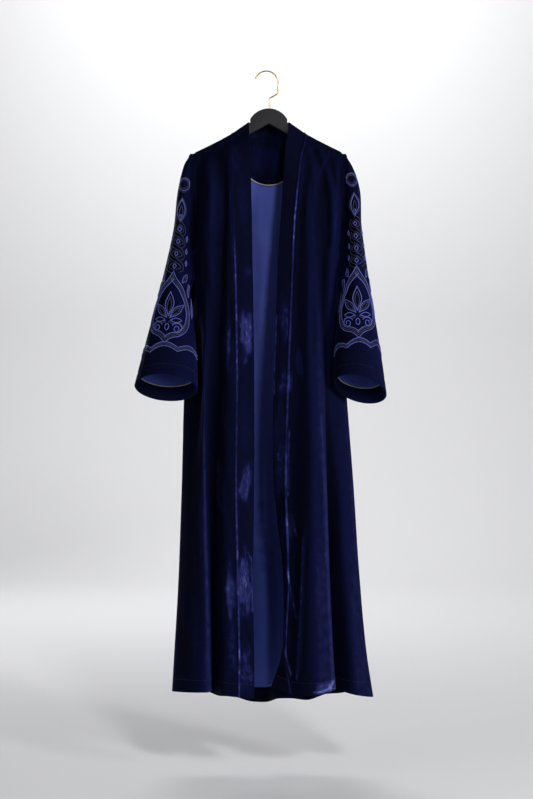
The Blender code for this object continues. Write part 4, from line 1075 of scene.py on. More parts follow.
angles = np.radians(np.linspace(180 - FACING_ENDS, FACING_ENDS, FACING_COLUMNS))
dense_places = np.linspace(back_knots[0], back_knots[-1], DENSE_COLUMNS)
yoke_x = body_sheet(BACK, 1, dense_places, ROWS)[TURN_END + 1, :, 0]
facing_columns = np.interp(CENTRE_X + FACING_RADIUS * np.cos(angles), yoke_x, dense_places)
near_neck = body_sheet(BACK, 1, facing_columns, ROWS)[:UNDER_ROWS]
down = run_lengths(near_neck, 0)
near_neck = smooth_through(down, near_neck, spaced((down[0], down[-1], UNDER_STEP)))
under = (near_neck[:, ::-1] - grid_normals(near_neck[:, ::-1])
         * (VELVET / 2 + FACING_EASE + SATIN + FACING / 2))[:, ::-1]
arc_z = FACING_CENTRE_Z - FACING_RADIUS * np.sin(angles)
share = np.linspace(0, 1, FACING_ROWS)[:, None]
facing = np.zeros((FACING_ROWS, FACING_COLUMNS, 3))
facing[..., 2] = (1 - share) * (under[0, :, 2] + FACING_RISE) + share * arc_z
for column in range(FACING_COLUMNS):
    heights = under[1:, column, 2]
    for axis in (0, 1):
        facing[:, column, axis] = np.interp(-facing[:, column, 2], -heights, under[1:, column, axis])
facing = facing[:, ::-1]
facing_piece = cloth("velvet_neck_facing", facing, FACING, PILE,
                     attributes={"crush_and_highlight": crushed(facing, FACING_PATCHES, [])})
declare(facing_piece, "neck_facing")

arc_out = np.stack([np.cos(angles), np.zeros(FACING_COLUMNS), -np.sin(angles)], axis=1)
cord_path = facing[-1, ::-1] + arc_out * (PIPING_RADIUS + GAP)
cord_path[:, 1] -= PIPING_RADIUS - FACING / 2 + GAP
path, radii = round_ended(cord_path, PIPING_RADIUS)
neck_piping = tubes("neck_facing_piping", [tube_rings(path, radii, (0, -1, 0))], PIPING)
stand_for(neck_piping, "neck_piping")

# %% [markdown]
# ## The sleeves
# A sleeve is one tube of rings, from the armhole to the bell of the cuff. Its satin lining stops above the
# cuff at a grey piping, and a velvet facing turns the mouth in. Soft drags cross it where the arm would
# bend, and more hang down the hidden side. They are placed on the tube by the angle round it and the
# distance down it, so that they stay on the cloth where it turns away.
# %% Sleeve tables and drags
# Each row: name, outer x, outer z, inner x, inner z, middle y, half depth, rise of the near side, in mm.
LEFT_SLEEVE = [
    ("cap", -203, -226, -195, -445, -4, 36, 0),
    ("upper arm", -219, -290, -197, -466, -8, 46, 0),
    ("biceps", -229, -385, -194, -505, -14, 52, 2),
    ("elbow", -253, -500, -187, -568, -30, 54, 6),
    ("forearm", -280, -612, -178, -645, -51, 52, 14),
    ("lower arm", -304, -708, -171, -712, -70, 49, 24),
    ("cuff", -319, -770, -169, -778, -82, 46, 32),
]
RIGHT_SLEEVE = [
    ("cap", 202, -226, 195, -445, -4, 36, 0),
    ("upper arm", 222, -282, 195, -466, -7, 47, 0),
    ("biceps", 227, -378, 191, -505, -15, 53, 2),
    ("elbow", 241, -492, 176, -566, -34, 53, 6),
    ("forearm", 257, -605, 165, -642, -54, 51, 14),
    ("lower arm", 272, -706, 160, -704, -72, 49, 24),
    ("cuff", 283, -792, 158, -762, -84, 46, 32),
]
SLEEVE_PLACES = [0, 0.5, 1, 1.5, 2, 3, 3.5, 4, 4.5, 5, 6]
CUFF_FACING_DEPTH = 30.0
SLEEVE_SIDES, SLEEVE_ROW_STEP, CHART_GIRTH = 108, 4.0, 360.0
# (depth, width, line of (degrees from the top line towards the viewer, mm down from the armhole)).
LEFT_DRAGS = [
    (-1.8, 9, [(20, 60), (28, 150), (24, 240)]), (1.6, 8, [(150, 150), (118, 196), (92, 214)]),
    (-1.8, 9, [(164, 190), (130, 232), (104, 246)]), (1.4, 8, [(158, 262), (126, 286), (100, 290)]),
    (-2.4, 9, [(140, 400), (112, 412), (70, 420)]), (1.6, 8, [(132, 432), (96, 446), (60, 448)]),
    (-1.8, 10, [(20, 380), (26, 440), (22, 490)]), (2.2, 10, [(250, 120), (232, 200), (240, 300)]),
    (-2.4, 10, [(284, 140), (270, 260), (276, 380)]), (1.8, 9, [(318, 260), (306, 350), (312, 440)]),
    (-1.8, 9, [(220, 300), (206, 380), (214, 460)]), (1.4, 9, [(176, 330), (160, 372), (140, 384)]),
    (15.0, 36, [(180, 12), (182, 70), (182, 130)]),
]
RIGHT_DRAGS = [
    (-1.8, 9, [(24, 70), (34, 160), (28, 250)]), (1.8, 8, [(148, 140), (120, 178), (96, 196)]),
    (-1.8, 8, [(160, 182), (128, 220), (102, 232)]), (1.4, 8, [(152, 256), (124, 276), (104, 280)]),
    (-2.4, 9, [(150, 396), (120, 414), (80, 420)]), (1.6, 8, [(136, 436), (102, 446), (70, 446)]),
    (-1.6, 10, [(22, 390), (30, 440), (26, 480)]), (2.0, 10, [(246, 130), (230, 220), (236, 310)]),
    (-2.2, 10, [(280, 150), (266, 250), (272, 370)]), (1.8, 9, [(314, 270), (304, 350), (310, 430)]),
    (-1.8, 9, [(216, 290), (204, 370), (210, 450)]), (1.6, 9, [(172, 336), (158, 370), (142, 382)]),
    (11.0, 34, [(180, 16), (182, 70), (182, 140)]),
]
CUFF_STITCH_DEPTH, CUFF_STITCH_WIDTH = 0.8, 2.6     # the facing's stitches pull the cuff in
PIPING_STEP, CUFF_STEP = 2.6, 3.4       # rows at the piping and on the cuff
DRAG_FADE = 20.0               # the drags start this far below the seam's flat allowance
BLUNT_PLACES = 2.0             # down to this place of the table the ring is blunter than an ellipse
LINING_START_ROW, SLEEVE_LINING_SHADE = 3, 0.7            # painted shade on the satin inside a sleeve
print(len(LEFT_DRAGS) + len(RIGHT_DRAGS), "drags on the sleeves")

# %% Sleeves, linings, cuff facings, pipings
turn = np.linspace(0, 2 * np.pi, SLEEVE_SIDES, endpoint=False)


def sleeve_rings(table, outward, places):
    """Rings of a sleeve from the armhole (0) to the cuff, one a place. The near side is at a quarter turn.

    x goes by the cosine of the turn between the outer and the inner line, z likewise, and y by its sine.
    Near the armhole the ring is blunter: the sine of a stretched turn, to a power.
    """
    start = ARMHOLE_X - SEAM_TUCK
    rows = [(outward * start, ARMHOLE_TOP_Z, outward * start, UNDERARM_Z, 0, ARMHOLE_HALF_DEPTH, 0)]
    rows += [row[1:] for row in table]
    values = smooth_through(np.arange(len(rows)), np.array(rows, float), places)
    blunt = np.abs(np.sin(np.pi * (1 - np.cos(turn)) / 2)) ** ARMHOLE_BLUNTNESS * np.sign(np.sin(turn))
    blend = np.clip(1 - np.asarray(places) / BLUNT_PLACES, 0, 1)[:, None]
    depth = blend * blunt + (1 - blend) * np.sin(turn)
    outer_x, outer_z, inner_x, inner_z, middle_y, half_depth, rise = values.T[:, :, None]
    side = np.cos(turn)[None, :]
    return np.stack([
        (outer_x + inner_x) / 2 + (outer_x - inner_x) / 2 * side,
        middle_y - half_depth * depth,
        (outer_z + inner_z) / 2 + (outer_z - inner_z) / 2 * side + rise * depth,
    ], axis=2)


def make_sleeve(word, table, outward, drags):
    """Sleeve, lining, cuff facing and piping. Returns the sleeve's grid, its rows, places and lengths."""
    last = len(table)
    cuff = sleeve_rings(table, outward, [last - 1, last])
    length = np.linalg.norm(cuff[1] - cuff[0], axis=1).mean()
    facing_place = last - CUFF_FACING_DEPTH / length
    step = (2 * PIPING_RADIUS + PIPING_ROOM) / length
    places = np.array(SLEEVE_PLACES + [facing_place - step, facing_place, last])
    coarse = sleeve_rings(table, outward, places)
    coarse = np.concatenate([coarse[:1], coarse[:1] + np.array([outward * FLANGE, 0, 0]), coarse[1:]])
    down = run_lengths(coarse, 0)
    rows = spaced((0, down[1], EDGE_STEP), (down[1], down[-3], SLEEVE_ROW_STEP),
                  (down[-3], down[-2], PIPING_STEP), (down[-2], down[-1], CUFF_STEP))
    sleeve = smooth_through(down, coarse, rows)
    chart_x, chart_z = np.meshgrid(turn / (2 * np.pi) * CHART_GIRTH, -rows)
    push = np.zeros(sleeve.shape[:2])
    for depth, width, line in drags:
        push += depth * along_line(chart_x, chart_z, [(a / 360 * CHART_GIRTH, -d) for a, d in line], width)
    stitched = np.exp(-((rows - down[-2]) / CUFF_STITCH_WIDTH) ** 2)
    push = push * ease((rows - FLANGE) / DRAG_FADE)[:, None] - CUFF_STITCH_DEPTH * stitched[:, None]
    sleeve += grid_normals(sleeve, around=True) * (outward * -1) * push[..., None]
    around = slice(None, None, -1) if outward > 0 else slice(None)
    shown = sleeve[:, around]
    normals = grid_normals(shown, around=True)
    lining_end, facing_start = (int(np.searchsorted(rows, down[place] - 0.01)) for place in (-3, -2))
    inner = (shown - normals * (VELVET / 2 + GAP + SATIN / 2))[LINING_START_ROW:lining_end + 1]
    inner = np.concatenate([inner[:-1:2], inner[-1:]])[:, ::2]
    facing = (shown - normals * (VELVET / 2 + GAP + FACING / 2))[facing_start:]
    cord = (shown - normals * (VELVET / 2 + GAP + PIPING_RADIUS))[(lining_end + facing_start) // 2]
    sleeve_piece = cloth("velvet_sleeve_" + word, shown, VELVET, PILE, around=True)
    lining_piece = cloth("satin_sleeve_lining_" + word, inner, SATIN, SATIN_LINING, around=True,
                         attributes={"turned": np.full(inner.shape[:2], SLEEVE_LINING_SHADE)})
    facing_piece = cloth("velvet_cuff_facing_" + word, facing, FACING, PILE, around=True)
    declare(sleeve_piece, "sleeve_" + word)
    declare(lining_piece, "sleeve_lining_" + word)
    declare(facing_piece, "cuff_facing_" + word)
    rings = tube_rings(cord, PIPING_RADIUS, normals[facing_start], closed=True)
    piping = tubes("cuff_piping_" + word, [rings], SHADED_CUFF_PIPING, closed=True)
    stand_for(piping, "cuff_piping_" + word)
    return sleeve, rows, places, np.delete(down, 1)


left_sleeve = make_sleeve("left", LEFT_SLEEVE, -1, LEFT_DRAGS)
right_sleeve = make_sleeve("right", RIGHT_SLEEVE, 1, RIGHT_DRAGS)

# %% [markdown]
# ## The sleeves' ornament
# Cord is laid on the velvet and stitched down, in two colours. The pattern is drawn flat, in millimetres
# beside and below a line that runs down the sleeve, and then laid on the cloth by a chart of that line's
# surroundings. The chart is found by walking straight over the cloth to both sides, so the pattern keeps
# its size on the curved tube. It is a general arabesque of this garment's scale: a ring, a drop, a plait,
# an ogee with leaves, and a scalloped border.
# %% Charts of the sleeves
# The ornament's middle line: (place in the sleeve's table, degrees from the top line towards the viewer).
LEFT_AXIS = [(0.9, 45), (1.2, 58), (1.5, 66), (2, 76), (2.5, 77), (3, 73), (4, 74), (5, 79), (6, 80),
             (7, 86)]
RIGHT_AXIS = [(0.9, 38), (1.2, 50), (1.5, 62), (2, 83), (2.5, 84), (3, 80), (4, 83), (5, 87), (6, 89),
              (7, 91)]
CHART_STEP, CHART_SIDE = 2.0, 96.0
ORNAMENT_TOP_PLACE = 1.2
STAR_REACH, STAR_DEGREES = 36.0, 5.0     # the round motif's own chart: how far, and the turn between walks


def between(values, r, c):
    """Values at fractional rows r and columns c of a grid that closes across, by bilinear weights."""
    rows, columns = values.shape[:2]
    r = np.clip(r, 0, rows - 1.001)
    low, left = np.floor(r).astype(int), np.floor(c).astype(int)
    s, t = (r - low)[..., None], (c - left)[..., None]
    return weighted(values, low, low + 1, left % columns, (left + 1) % columns, s, t)


def walked(sleeve, normals, r, c, walk, reach):
    """Points and normals along straight walks over the cloth, from (r, c) in the directions walk.

    Each step solves P_r dr + P_c dc = h b by least squares, where P_r and P_c are the grid's slopes, b is
    the unit direction of the walk and h the step. Then b is laid back into the cloth as b - (b . N) N.
    """
    slope_r = np.gradient(sleeve, axis=0)
    slope_c = (np.roll(sleeve, -1, axis=1) - np.roll(sleeve, 1, axis=1)) / 2
    points, outs = [], []
    for _ in range(int(reach / CHART_STEP) + 1):
        points.append(between(sleeve, r, c))
        outs.append(unit(between(normals, r, c)))
        walk = unit(walk - (walk * outs[-1]).sum(axis=1, keepdims=True) * outs[-1])
        p_r, p_c = between(slope_r, r, c), between(slope_c, r, c)
        rr, rc, cc = (p_r * p_r).sum(1), (p_r * p_c).sum(1), (p_c * p_c).sum(1)
        br, bc = (walk * p_r).sum(1) * CHART_STEP, (walk * p_c).sum(1) * CHART_STEP
        r = np.clip(r + (br * cc - bc * rc) / (rr * cc - rc**2), 0, len(sleeve) - 1.001)
        c = c + (bc * rr - br * rc) / (rr * cc - rc**2)
    return np.array(points), np.array(outs)


def sleeve_chart(parts, axis, outward):
    """Points and outward normals of a sleeve at (steps sideways, steps down its ornament's middle line).

    The last item is a second chart, for the round motif at the top: (steps away, turns of STAR_DEGREES).
    """
    sleeve, rows, places, lengths = parts
    normals = -outward * grid_normals(sleeve, around=True)
    place, degrees = np.array(axis, float).T
    dense = np.linspace(place[0], place[-1], 600)
    r = np.interp(np.interp(dense, places, lengths), rows, np.arange(len(rows)))
    c = smooth_through(place, degrees, dense) / 360 * sleeve.shape[1]
    line = between(sleeve, r, c)
    along = lengths_along(line)
    along -= np.interp(ORNAMENT_TOP_PLACE, dense, along)
    down = np.arange(math.ceil(along[0] / CHART_STEP), along[-1] / CHART_STEP) * CHART_STEP
    r0, c0 = np.interp(down, along, r), np.interp(down, along, c)
    ahead = unit(np.gradient(between(sleeve, r0, c0), axis=0))
    sideways = unit(np.cross(ahead, between(normals, r0, c0)))
    halves = [walked(sleeve, normals, r0, c0, side * sideways, CHART_SIDE) for side in (-1, 1)]
    points, outs = (np.concatenate([halves[0][k][:0:-1], halves[1][k]]) for k in (0, 1))
    top = np.argmin(np.abs(down))
    turns = np.radians(np.arange(0, 361, STAR_DEGREES))[:, None]
    fan = np.cos(turns) * sideways[top] + np.sin(turns) * ahead[top]
    centre = (np.full(len(turns), value[top]) for value in (r0, c0))
    star = walked(sleeve, normals, *centre, fan, STAR_REACH)
    return points, outs, down[0], star


def on_chart(chart, curve):
    """Points and normals of a curve of (sideways, down) in mm."""
    points, outs, first, star = chart
    if np.hypot(*curve.T).max() < STAR_REACH - CHART_STEP:
        points, outs = star
        a = np.hypot(*curve.T) / CHART_STEP
        d = np.degrees(np.arctan2(curve[:, 1], curve[:, 0])) % 360 / STAR_DEGREES
    else:
        a = np.clip(curve[:, 0] / CHART_STEP + (len(points) - 1) / 2, 0, len(points) - 1.001)
        d = np.clip((curve[:, 1] - first) / CHART_STEP, 0, points.shape[1] - 1.001)
    low, left = (np.clip(np.floor(v).astype(int), 0, n - 2) for v, n in zip((a, d), points.shape))
    s, t = (a - low)[:, None], (d - left)[:, None]
    places, ups = (weighted(v, low, low + 1, left, left + 1, s, t) for v in (points, outs))
    return places, unit(ups)


LEFT_CHART = sleeve_chart(left_sleeve, LEFT_AXIS, -1)
RIGHT_CHART = sleeve_chart(right_sleeve, RIGHT_AXIS, 1)
print("charts:", LEFT_CHART[0].shape[:2], "and", RIGHT_CHART[0].shape[:2], "steps of", CHART_STEP, "mm")

# %% Drawing the ornament
CORD_STEP = 2.2
THICK, THIN = 0.9, 0.65       # radii of the periwinkle cord and of the taupe one
RING_DOWN, RING_BEND, RING_FOOT = -8.0, 90.0, 0.35
PLAIT_TOP, PLAIT_LOW, PLAIT_BANDS, STRAP = 92.0, 216.0, 4, 4.2
PLAIT_REACH, PLAIT_SPREAD, CROSSING_GAP = 15.0, 5.0, 1.0
OGEE = [(0, 214), (9, 231), (27, 250), (45, 278), (56, 314), (52, 346), (34, 369), (14, 378), (0, 392)]


def resampled(curve):
    """The same curve with points at equal steps, close to CORD_STEP."""
    curve = np.asarray(curve, float)
    along = lengths_along(curve)
    return evenly(curve, along, np.linspace(0, along[-1], max(3, round(along[-1] / CORD_STEP) + 1)))


def curve_through(points):
    """Smooth curve through points of (sideways, down)."""
    points = np.asarray(points, float)
    knots = lengths_along(points)
    return resampled(smooth_through(knots, points, np.linspace(0, knots[-1], 200)))


def round_curve(a, d, radius_a, radius_d=None):
    """Ellipse about (a, d)."""
    t = np.linspace(0, 2 * np.pi, 73)
    return resampled(np.stack([a + radius_a * np.cos(t), d + (radius_d or radius_a) * np.sin(t)], axis=1))


def ring(radius):
    """Ring that looks round on the sleeve's cap: sides lifted by a^2 / bend, and a fuller foot."""
    curve = round_curve(0, 0, radius)
    foot = RING_FOOT * curve[:, 1] * np.maximum(curve[:, 1] / radius, 0) ** 4
    return curve + np.stack([np.zeros(len(curve)), RING_DOWN + foot - curve[:, 0] ** 2 / RING_BEND], axis=1)


def leaf(a, d, length, half_width, degrees=0.0):
    """Leaf pointed at both ends, x = w sin(pi s)^1.3, y = l s, turned about its foot (a, d). It grows up."""
    s = np.linspace(0, 1, 40)
    shape = np.concatenate([np.stack([half_width * np.sin(np.pi * s) ** 1.3, -length * s], axis=1),
                            np.stack([-half_width * np.sin(np.pi * s) ** 1.3, -length * s], axis=1)[-2::-1]])
    turned = math.radians(degrees)
    spin = np.array([[math.cos(turned), math.sin(turned)], [-math.sin(turned), math.cos(turned)]])
    return resampled(shape @ spin + (a, d))


def lozenge(a, d, half_a, half_d):
    """Four-sided figure standing on its point."""
    return resampled([(a, d - half_d), (a + half_a, d), (a, d + half_d), (a - half_a, d), (a, d - half_d)])


def spiral(a, d, radius, turns, start, way):
    """Scroll that winds in from a radius: r falls evenly over the turns."""
    t = np.linspace(0, 1, 90)
    angle = math.radians(start) + way * 2 * np.pi * turns * t
    r = radius * (1 - 0.82 * t)
    return resampled(np.stack([a + r * np.cos(angle), d + r * np.sin(angle)], axis=1))


def beside(curve, distance):
    """Curve at a distance to the side of another."""
    ahead = unit(np.gradient(curve, axis=0))
    return resampled(curve + ahead[:, ::-1] * (-1, 1) * distance)


def runs_of(curve, keep):
    """The stretches of a curve where keep is true, if they have at least three points."""
    ends = np.flatnonzero(np.diff(np.concatenate([[False], keep, [False]]).astype(int)))
    return [curve[first:last] for first, last in zip(ends[::2], ends[1::2]) if last - first > 2]


def plait():
    """Edges of two straps that cross in turn over and under: centre line +-A sin(pi (d - top) / band)."""
    band = (PLAIT_LOW - PLAIT_TOP) / PLAIT_BANDS
    d = np.linspace(PLAIT_TOP, PLAIT_LOW, 240)
    reach = PLAIT_REACH + PLAIT_SPREAD * (d - PLAIT_TOP) / (PLAIT_LOW - PLAIT_TOP)
    pieces = []
    for side in (-1, 1):
        centre = side * reach * np.sin(np.pi * (d - PLAIT_TOP) / band)
        for edge in (-STRAP, STRAP):
            line = beside(np.stack([centre, d], axis=1), edge)
            crossing = np.round((line[:, 1] - PLAIT_TOP) / band)
            phase = np.pi * (line[:, 1] - PLAIT_TOP) / band
            width = np.interp(line[:, 1], d, reach)
            slope = width * np.pi / band * np.cos(phase)
            apart = np.abs(line[:, 0] + side * width * np.sin(phase)) / np.sqrt(1 + slope**2)
            under = (crossing % 2 == 0) == (side > 0)
            pieces += runs_of(line, ~(under & (apart < STRAP + CROSSING_GAP)))
    return pieces


def both_sides(curves):
    """The curves and their mirror images."""
    return curves + [curve * (-1, 1) for curve in curves]


band = (PLAIT_LOW - PLAIT_TOP) / PLAIT_BANDS
ogee = curve_through(OGEE)
eyes = [PLAIT_TOP + (k + 0.5) * band for k in range(PLAIT_BANDS)]
# Figures from the top down, each by its place (sideways, down), its sizes in mm and its turn in degrees.
BLUE_CURVES = [
    ring(13.5), leaf(0, 88, 56, 9.5), round_curve(0, 74, 2.4),
    *[lozenge(0, eye, 4.2, 6.5) for eye in eyes],
    *both_sides([lozenge(29 + 1.5 * k, eye + band / 2, 5.0, 8.0) for k, eye in enumerate(eyes[:3])]),
    *both_sides([ogee, beside(ogee, 11.5)[6:-4]]),
    leaf(0, 326, 62, 10.0), *both_sides([leaf(3, 330, 50, 8.0, 40), leaf(5, 336, 30, 5.5, 82)]),
    *both_sides([spiral(25, 353, 14.0, 1.6, 200, 1)]), round_curve(0, 352, 4.5, 8.0),
    *both_sides([leaf(24, 240, 34, 6.5, 28), leaf(52, 268, 42, 7.5, 12), leaf(70, 318, 54, 8.0, 4)]),
]
TAUPE_CURVES = [
    ring(9.5), ring(16.5),
    leaf(0, 92, 64, 14.0), leaf(0, 84, 36, 4.0), *plait(),
    *both_sides([lozenge(29 + 1.5 * k, eye + band / 2, 2.2, 3.6) for k, eye in enumerate(eyes[:3])]),
    *both_sides([beside(ogee, 4.2)[2:-2], beside(ogee, 8.0)[4:-3]]),
    leaf(0, 322, 46, 5.0), *both_sides([leaf(6, 326, 36, 3.6, 40)]),
    *both_sides([curve_through([(2, 338), (12, 343), (20, 340), (34, 341), (41, 353), (36, 364),
                                (24, 368)])]),
    *both_sides([leaf(24, 237, 22, 3.0, 28), leaf(52, 264, 30, 3.6, 12), leaf(70, 313, 42, 4.0, 4)]),
]
print(len(BLUE_CURVES), "periwinkle and", len(TAUPE_CURVES), "taupe cords on each sleeve")

# %% Laying the cord
BORDER_DOWN, SCALLOPS, SCALLOP_DEPTH = 412.0, 6, 13.0
BORDER_BLUE, BORDER_TAUPE = (0.0, -11.0), (-4.0, -7.5)       # each line's height over the lowest one
SUNK, THIN_END = 0.6, 0.4      # a cord's height over the pile and its ends' thickness, in its radii


def border(parts, chart, below, outward):
    """Scalloped line round the sleeve: down = base - depth |cos(n t / 2)|, t the turn about the ornament."""
    sleeve, rows, places, lengths = parts
    points, _, first, _ = chart
    middle = points[(len(points) - 1) // 2]
    turn_there = np.linspace(0, 2 * np.pi, 400)
    foot = middle[min(int((BORDER_DOWN - first) / CHART_STEP), len(middle) - 1)]
    spots = np.linalg.norm(sleeve - foot, axis=2)
    row, column = np.unravel_index(spots.argmin(), spots.shape)
    down = rows[row] + below - SCALLOP_DEPTH * np.abs(np.cos(SCALLOPS * turn_there / 2))
    r = np.interp(down, rows, np.arange(len(rows)))
    c = column + turn_there / (2 * np.pi) * sleeve.shape[1]
    normals = -outward * grid_normals(sleeve, around=True)
    line = np.concatenate([between(sleeve, r, c), unit(between(normals, r, c))], axis=1)
    along = lengths_along(line[:, :3])
    even = evenly(line, along, np.linspace(0, along[-1], round(along[-1] / CORD_STEP)))
    return even[:, :3], unit(even[:, 3:])


def lay_cord(name, paths, radius, material):
    """One object of cords on the velvet, each a six-sided tube sunk a little in the pile, with thin ends."""
    grids = []
    for points, outs in paths:
        radii = np.full(len(points), radius)
        radii[[0, -1]] = radius * THIN_END
        grids.append(tube_rings(points + outs * (VELVET / 2 + SUNK * radius), radii, outs, sides=6))
    obj = tubes(name, grids, material)
    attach(obj, "root")
    print(f"{name}: {len(obj.data.polygons)} faces")
    return obj


DECORATED = [("left", left_sleeve, LEFT_CHART, -1), ("right", right_sleeve, RIGHT_CHART, 1)]
for word, parts, chart, outward in DECORATED:
    blue = [on_chart(chart, curve) for curve in BLUE_CURVES]
    taupe = [on_chart(chart, curve) for curve in TAUPE_CURVES]
    blue += [border(parts, chart, below, outward) for below in BORDER_BLUE]
    taupe += [border(parts, chart, below, outward) for below in BORDER_TAUPE]
    lay_cord("ornament_periwinkle_" + word, blue, THICK, CORD_BLUE)
    lay_cord("ornament_taupe_" + word, taupe, THIN, CORD_TAUPE)

# %% [markdown]
# ## The hanger and its hook
# The hanger is a flat moulding with rounded edges. A wire hook stands in its plate. The outline is one
# loop, and rings of it, each set in further, make the rounding. A bevel could do that too, but rings keep
# their count of points round the notch. The hook is a tube along arcs, with a ball for its tip.
# %% Hanger
HANGER_THICKNESS, HANGER_EDGE, HANGER_SEAT, HANGER_ARM_END = 9.0, 3.0, 0.45, 164.0
SHOULDER_SLOPE = 34.0
HANGER_END = [(7.0, 9.0), (8.0, 18.0), (2.0, 27.0)]     # further out and lower than the arm's last point
PLATE_HALF_WIDTH, PLATE_TOP_Z, PLATE_SIDE_Z, NOTCH_Z = 45.5, -89.5, -116.0, -127.5
HOOK_WIRE_RADIUS, HOOK_RADIUS, HOOK_CENTRE, HOOK_TIP_ANGLE = 1.8, 28.0, (-4.0, -25.9), 157.0
HOOK_CRANK_Z, HOOK_BEND, HOOK_STEM_X, HOOK_STEM_DEPTH = -56.0, 6.0, 3.7, 20.0


def arc(centre, radius, first, last, steps):
    """Points on a circle between two angles in degrees."""
    angle = np.radians(np.linspace(first, last, steps))
    return np.stack([centre[0] + radius * np.cos(angle), centre[1] + radius * np.sin(angle)], axis=1)


def hanger_outline():
    """Loop of (x, z): the plate's arch, an arm's top, its round end and the underside, mirrored."""
    rise = PLATE_TOP_Z - PLATE_SIDE_Z
    radius = (PLATE_HALF_WIDTH**2 + rise**2) / (2 * rise)
    half_angle = math.degrees(math.asin(PLATE_HALF_WIDTH / radius))
    plate = arc((0.0, PLATE_TOP_Z - radius), radius, 90, 90 - half_angle, 33)
    out = np.linspace(SHOULDER_LINE[0][0], HANGER_ARM_END, 60)
    seat = (VELVET / 2 + HANGER_SEAT) / math.cos(math.radians(SHOULDER_SLOPE))
    top = np.stack([out, shoulder_z(CENTRE_X + out) - seat], axis=1)
    end = top[-1] + np.array([(0.0, 0.0)] + [(x, -z) for x, z in HANGER_END])
    end = smooth_through(np.arange(4.0), end, np.linspace(0, 3, 25))[1:]
    foot = np.array([(PLATE_HALF_WIDTH, top[0, 1] + 1.0)])
    under = np.linspace(end[-1], (0.0, NOTCH_Z), 40)[1:]
    right = np.concatenate([plate, foot, top, end, under])
    left = right[1:-1][::-1] * (-1, 1)
    return np.concatenate([right, left])


def set_in(loop, distance):
    """The loop moved inwards: each point along its sides' mean normal over half their angle's cosine."""
    ahead = unit(np.roll(loop, -1, axis=0) - loop)
    behind = np.roll(ahead, 1, axis=0)
    inward = unit(ahead + behind)[:, ::-1] * (1, -1)
    stretch = np.maximum((inward * (ahead[:, ::-1] * (1, -1))).sum(axis=1), 0.5)
    return loop + inward * (distance / stretch)[:, None]


loop = hanger_outline()
turns = np.radians(np.linspace(0, 90, 7))
rings = [(HANGER_EDGE * (1 - math.cos(a)), HANGER_THICKNESS / 2 - HANGER_EDGE * (1 - math.sin(a)))
         for a in turns]
rings = [(inset, -depth) for inset, depth in rings[::-1]] + rings
layers = []
for inset, depth in rings:
    flat = set_in(loop, inset)
    layers.append(np.stack([flat[:, 0] + CENTRE_X, np.full(len(flat), depth), flat[:, 1]], axis=1))
layers = np.array(layers)
count = len(loop)
skin = grid_quads(len(rings), count, around=True).tolist()
caps = [list(range(count)), list(range((len(rings) - 1) * count, len(rings) * count))[::-1]]
hanger_mesh = bpy.data.meshes.new("coat_hanger")
hanger_mesh.from_pydata((layers.reshape(-1, 3) * MM).tolist(), [], skin + caps)
hanger_mesh.shade_smooth()
hanger = bpy.data.objects.new("coat_hanger", hanger_mesh)
hanger_mesh.materials.append(HANGER_COAT)
bpy.context.scene.collection.objects.link(hanger)
stand_for(hanger, "hanger")

# %% Hook
loop_end_x = HOOK_CENTRE[0] + HOOK_RADIUS
wire = np.concatenate([
    arc(HOOK_CENTRE, HOOK_RADIUS, HOOK_TIP_ANGLE, 0, 72),
    np.linspace((loop_end_x, HOOK_CENTRE[1]), (loop_end_x, HOOK_CRANK_Z + HOOK_BEND), 14)[1:],
    arc((loop_end_x - HOOK_BEND, HOOK_CRANK_Z + HOOK_BEND), HOOK_BEND, 0, -75, 12)[1:],
    arc((HOOK_STEM_X + HOOK_BEND, HOOK_CRANK_Z - 2 * HOOK_BEND), HOOK_BEND, 105, 180, 12),
    np.array([(HOOK_STEM_X, PLATE_TOP_Z + 1.0), (HOOK_STEM_X, PLATE_TOP_Z - HOOK_STEM_DEPTH + 0.6)]),
])
wire = np.stack([wire[:, 0], np.zeros(len(wire)), wire[:, 1]], axis=1)
path, radii = round_ended(wire, HOOK_WIRE_RADIUS)
hook = tubes("wire_hook", [tube_rings(path, radii, (0, -1, 0), sides=20)], WIRE)
stand_for(hook, "hanger_hook")

# %% [markdown]
# ## Camera, light and backdrop
# The camera looks level at the middle of the garment, as the photograph's did. A fairly small soft key
# light stands to the right of it and throws the edge of the right front on the lining. A tall strip to the
# right brings out the pile's sheen on the folds, a weak one fills from the left, and a low soft light near
# the camera opens the shade between the fronts. One more stands behind, for a look from there, and the last
# lights the backdrop alone. That is a plain pale sheet that curves up from the floor, so it has no corner
# line, and it stands far enough back for a look at the garment from behind.
# %% Camera
CAMERA = (-0.0037, -3.73, -0.8024)
camera_data = bpy.data.cameras.new("photo_camera")
camera_data.lens, camera_data.sensor_width = 68.6, 36.0
camera = bpy.data.objects.new("photo_camera", camera_data)
camera.location = CAMERA
camera.rotation_euler = (math.pi / 2, 0, 0)
bpy.context.scene.collection.objects.link(camera)
bpy.context.scene.camera = camera
print("camera", round(-CAMERA[1], 2), "m in front of the hanger")

# %% Backdrop
FLOOR_Z, WALL_Y, BEND, HALF_WIDTH = -1720.0, 5200.0, 1400.0, 14000.0
floor_line = [(-9000.0, FLOOR_Z)] + [(WALL_Y - BEND + x, FLOOR_Z + BEND + z) for x, z in
                                     arc((0, 0), BEND, -90, 0, 25)] + [(WALL_Y, 4000.0)]
floor_line = np.array(floor_line)
sides = np.linspace(-HALF_WIDTH, HALF_WIDTH, 3)
paper = np.stack([np.broadcast_to(sides, (len(floor_line), 3)),
                  np.repeat(floor_line[:, :1], 3, axis=1), np.repeat(floor_line[:, 1:], 3, axis=1)], axis=2)
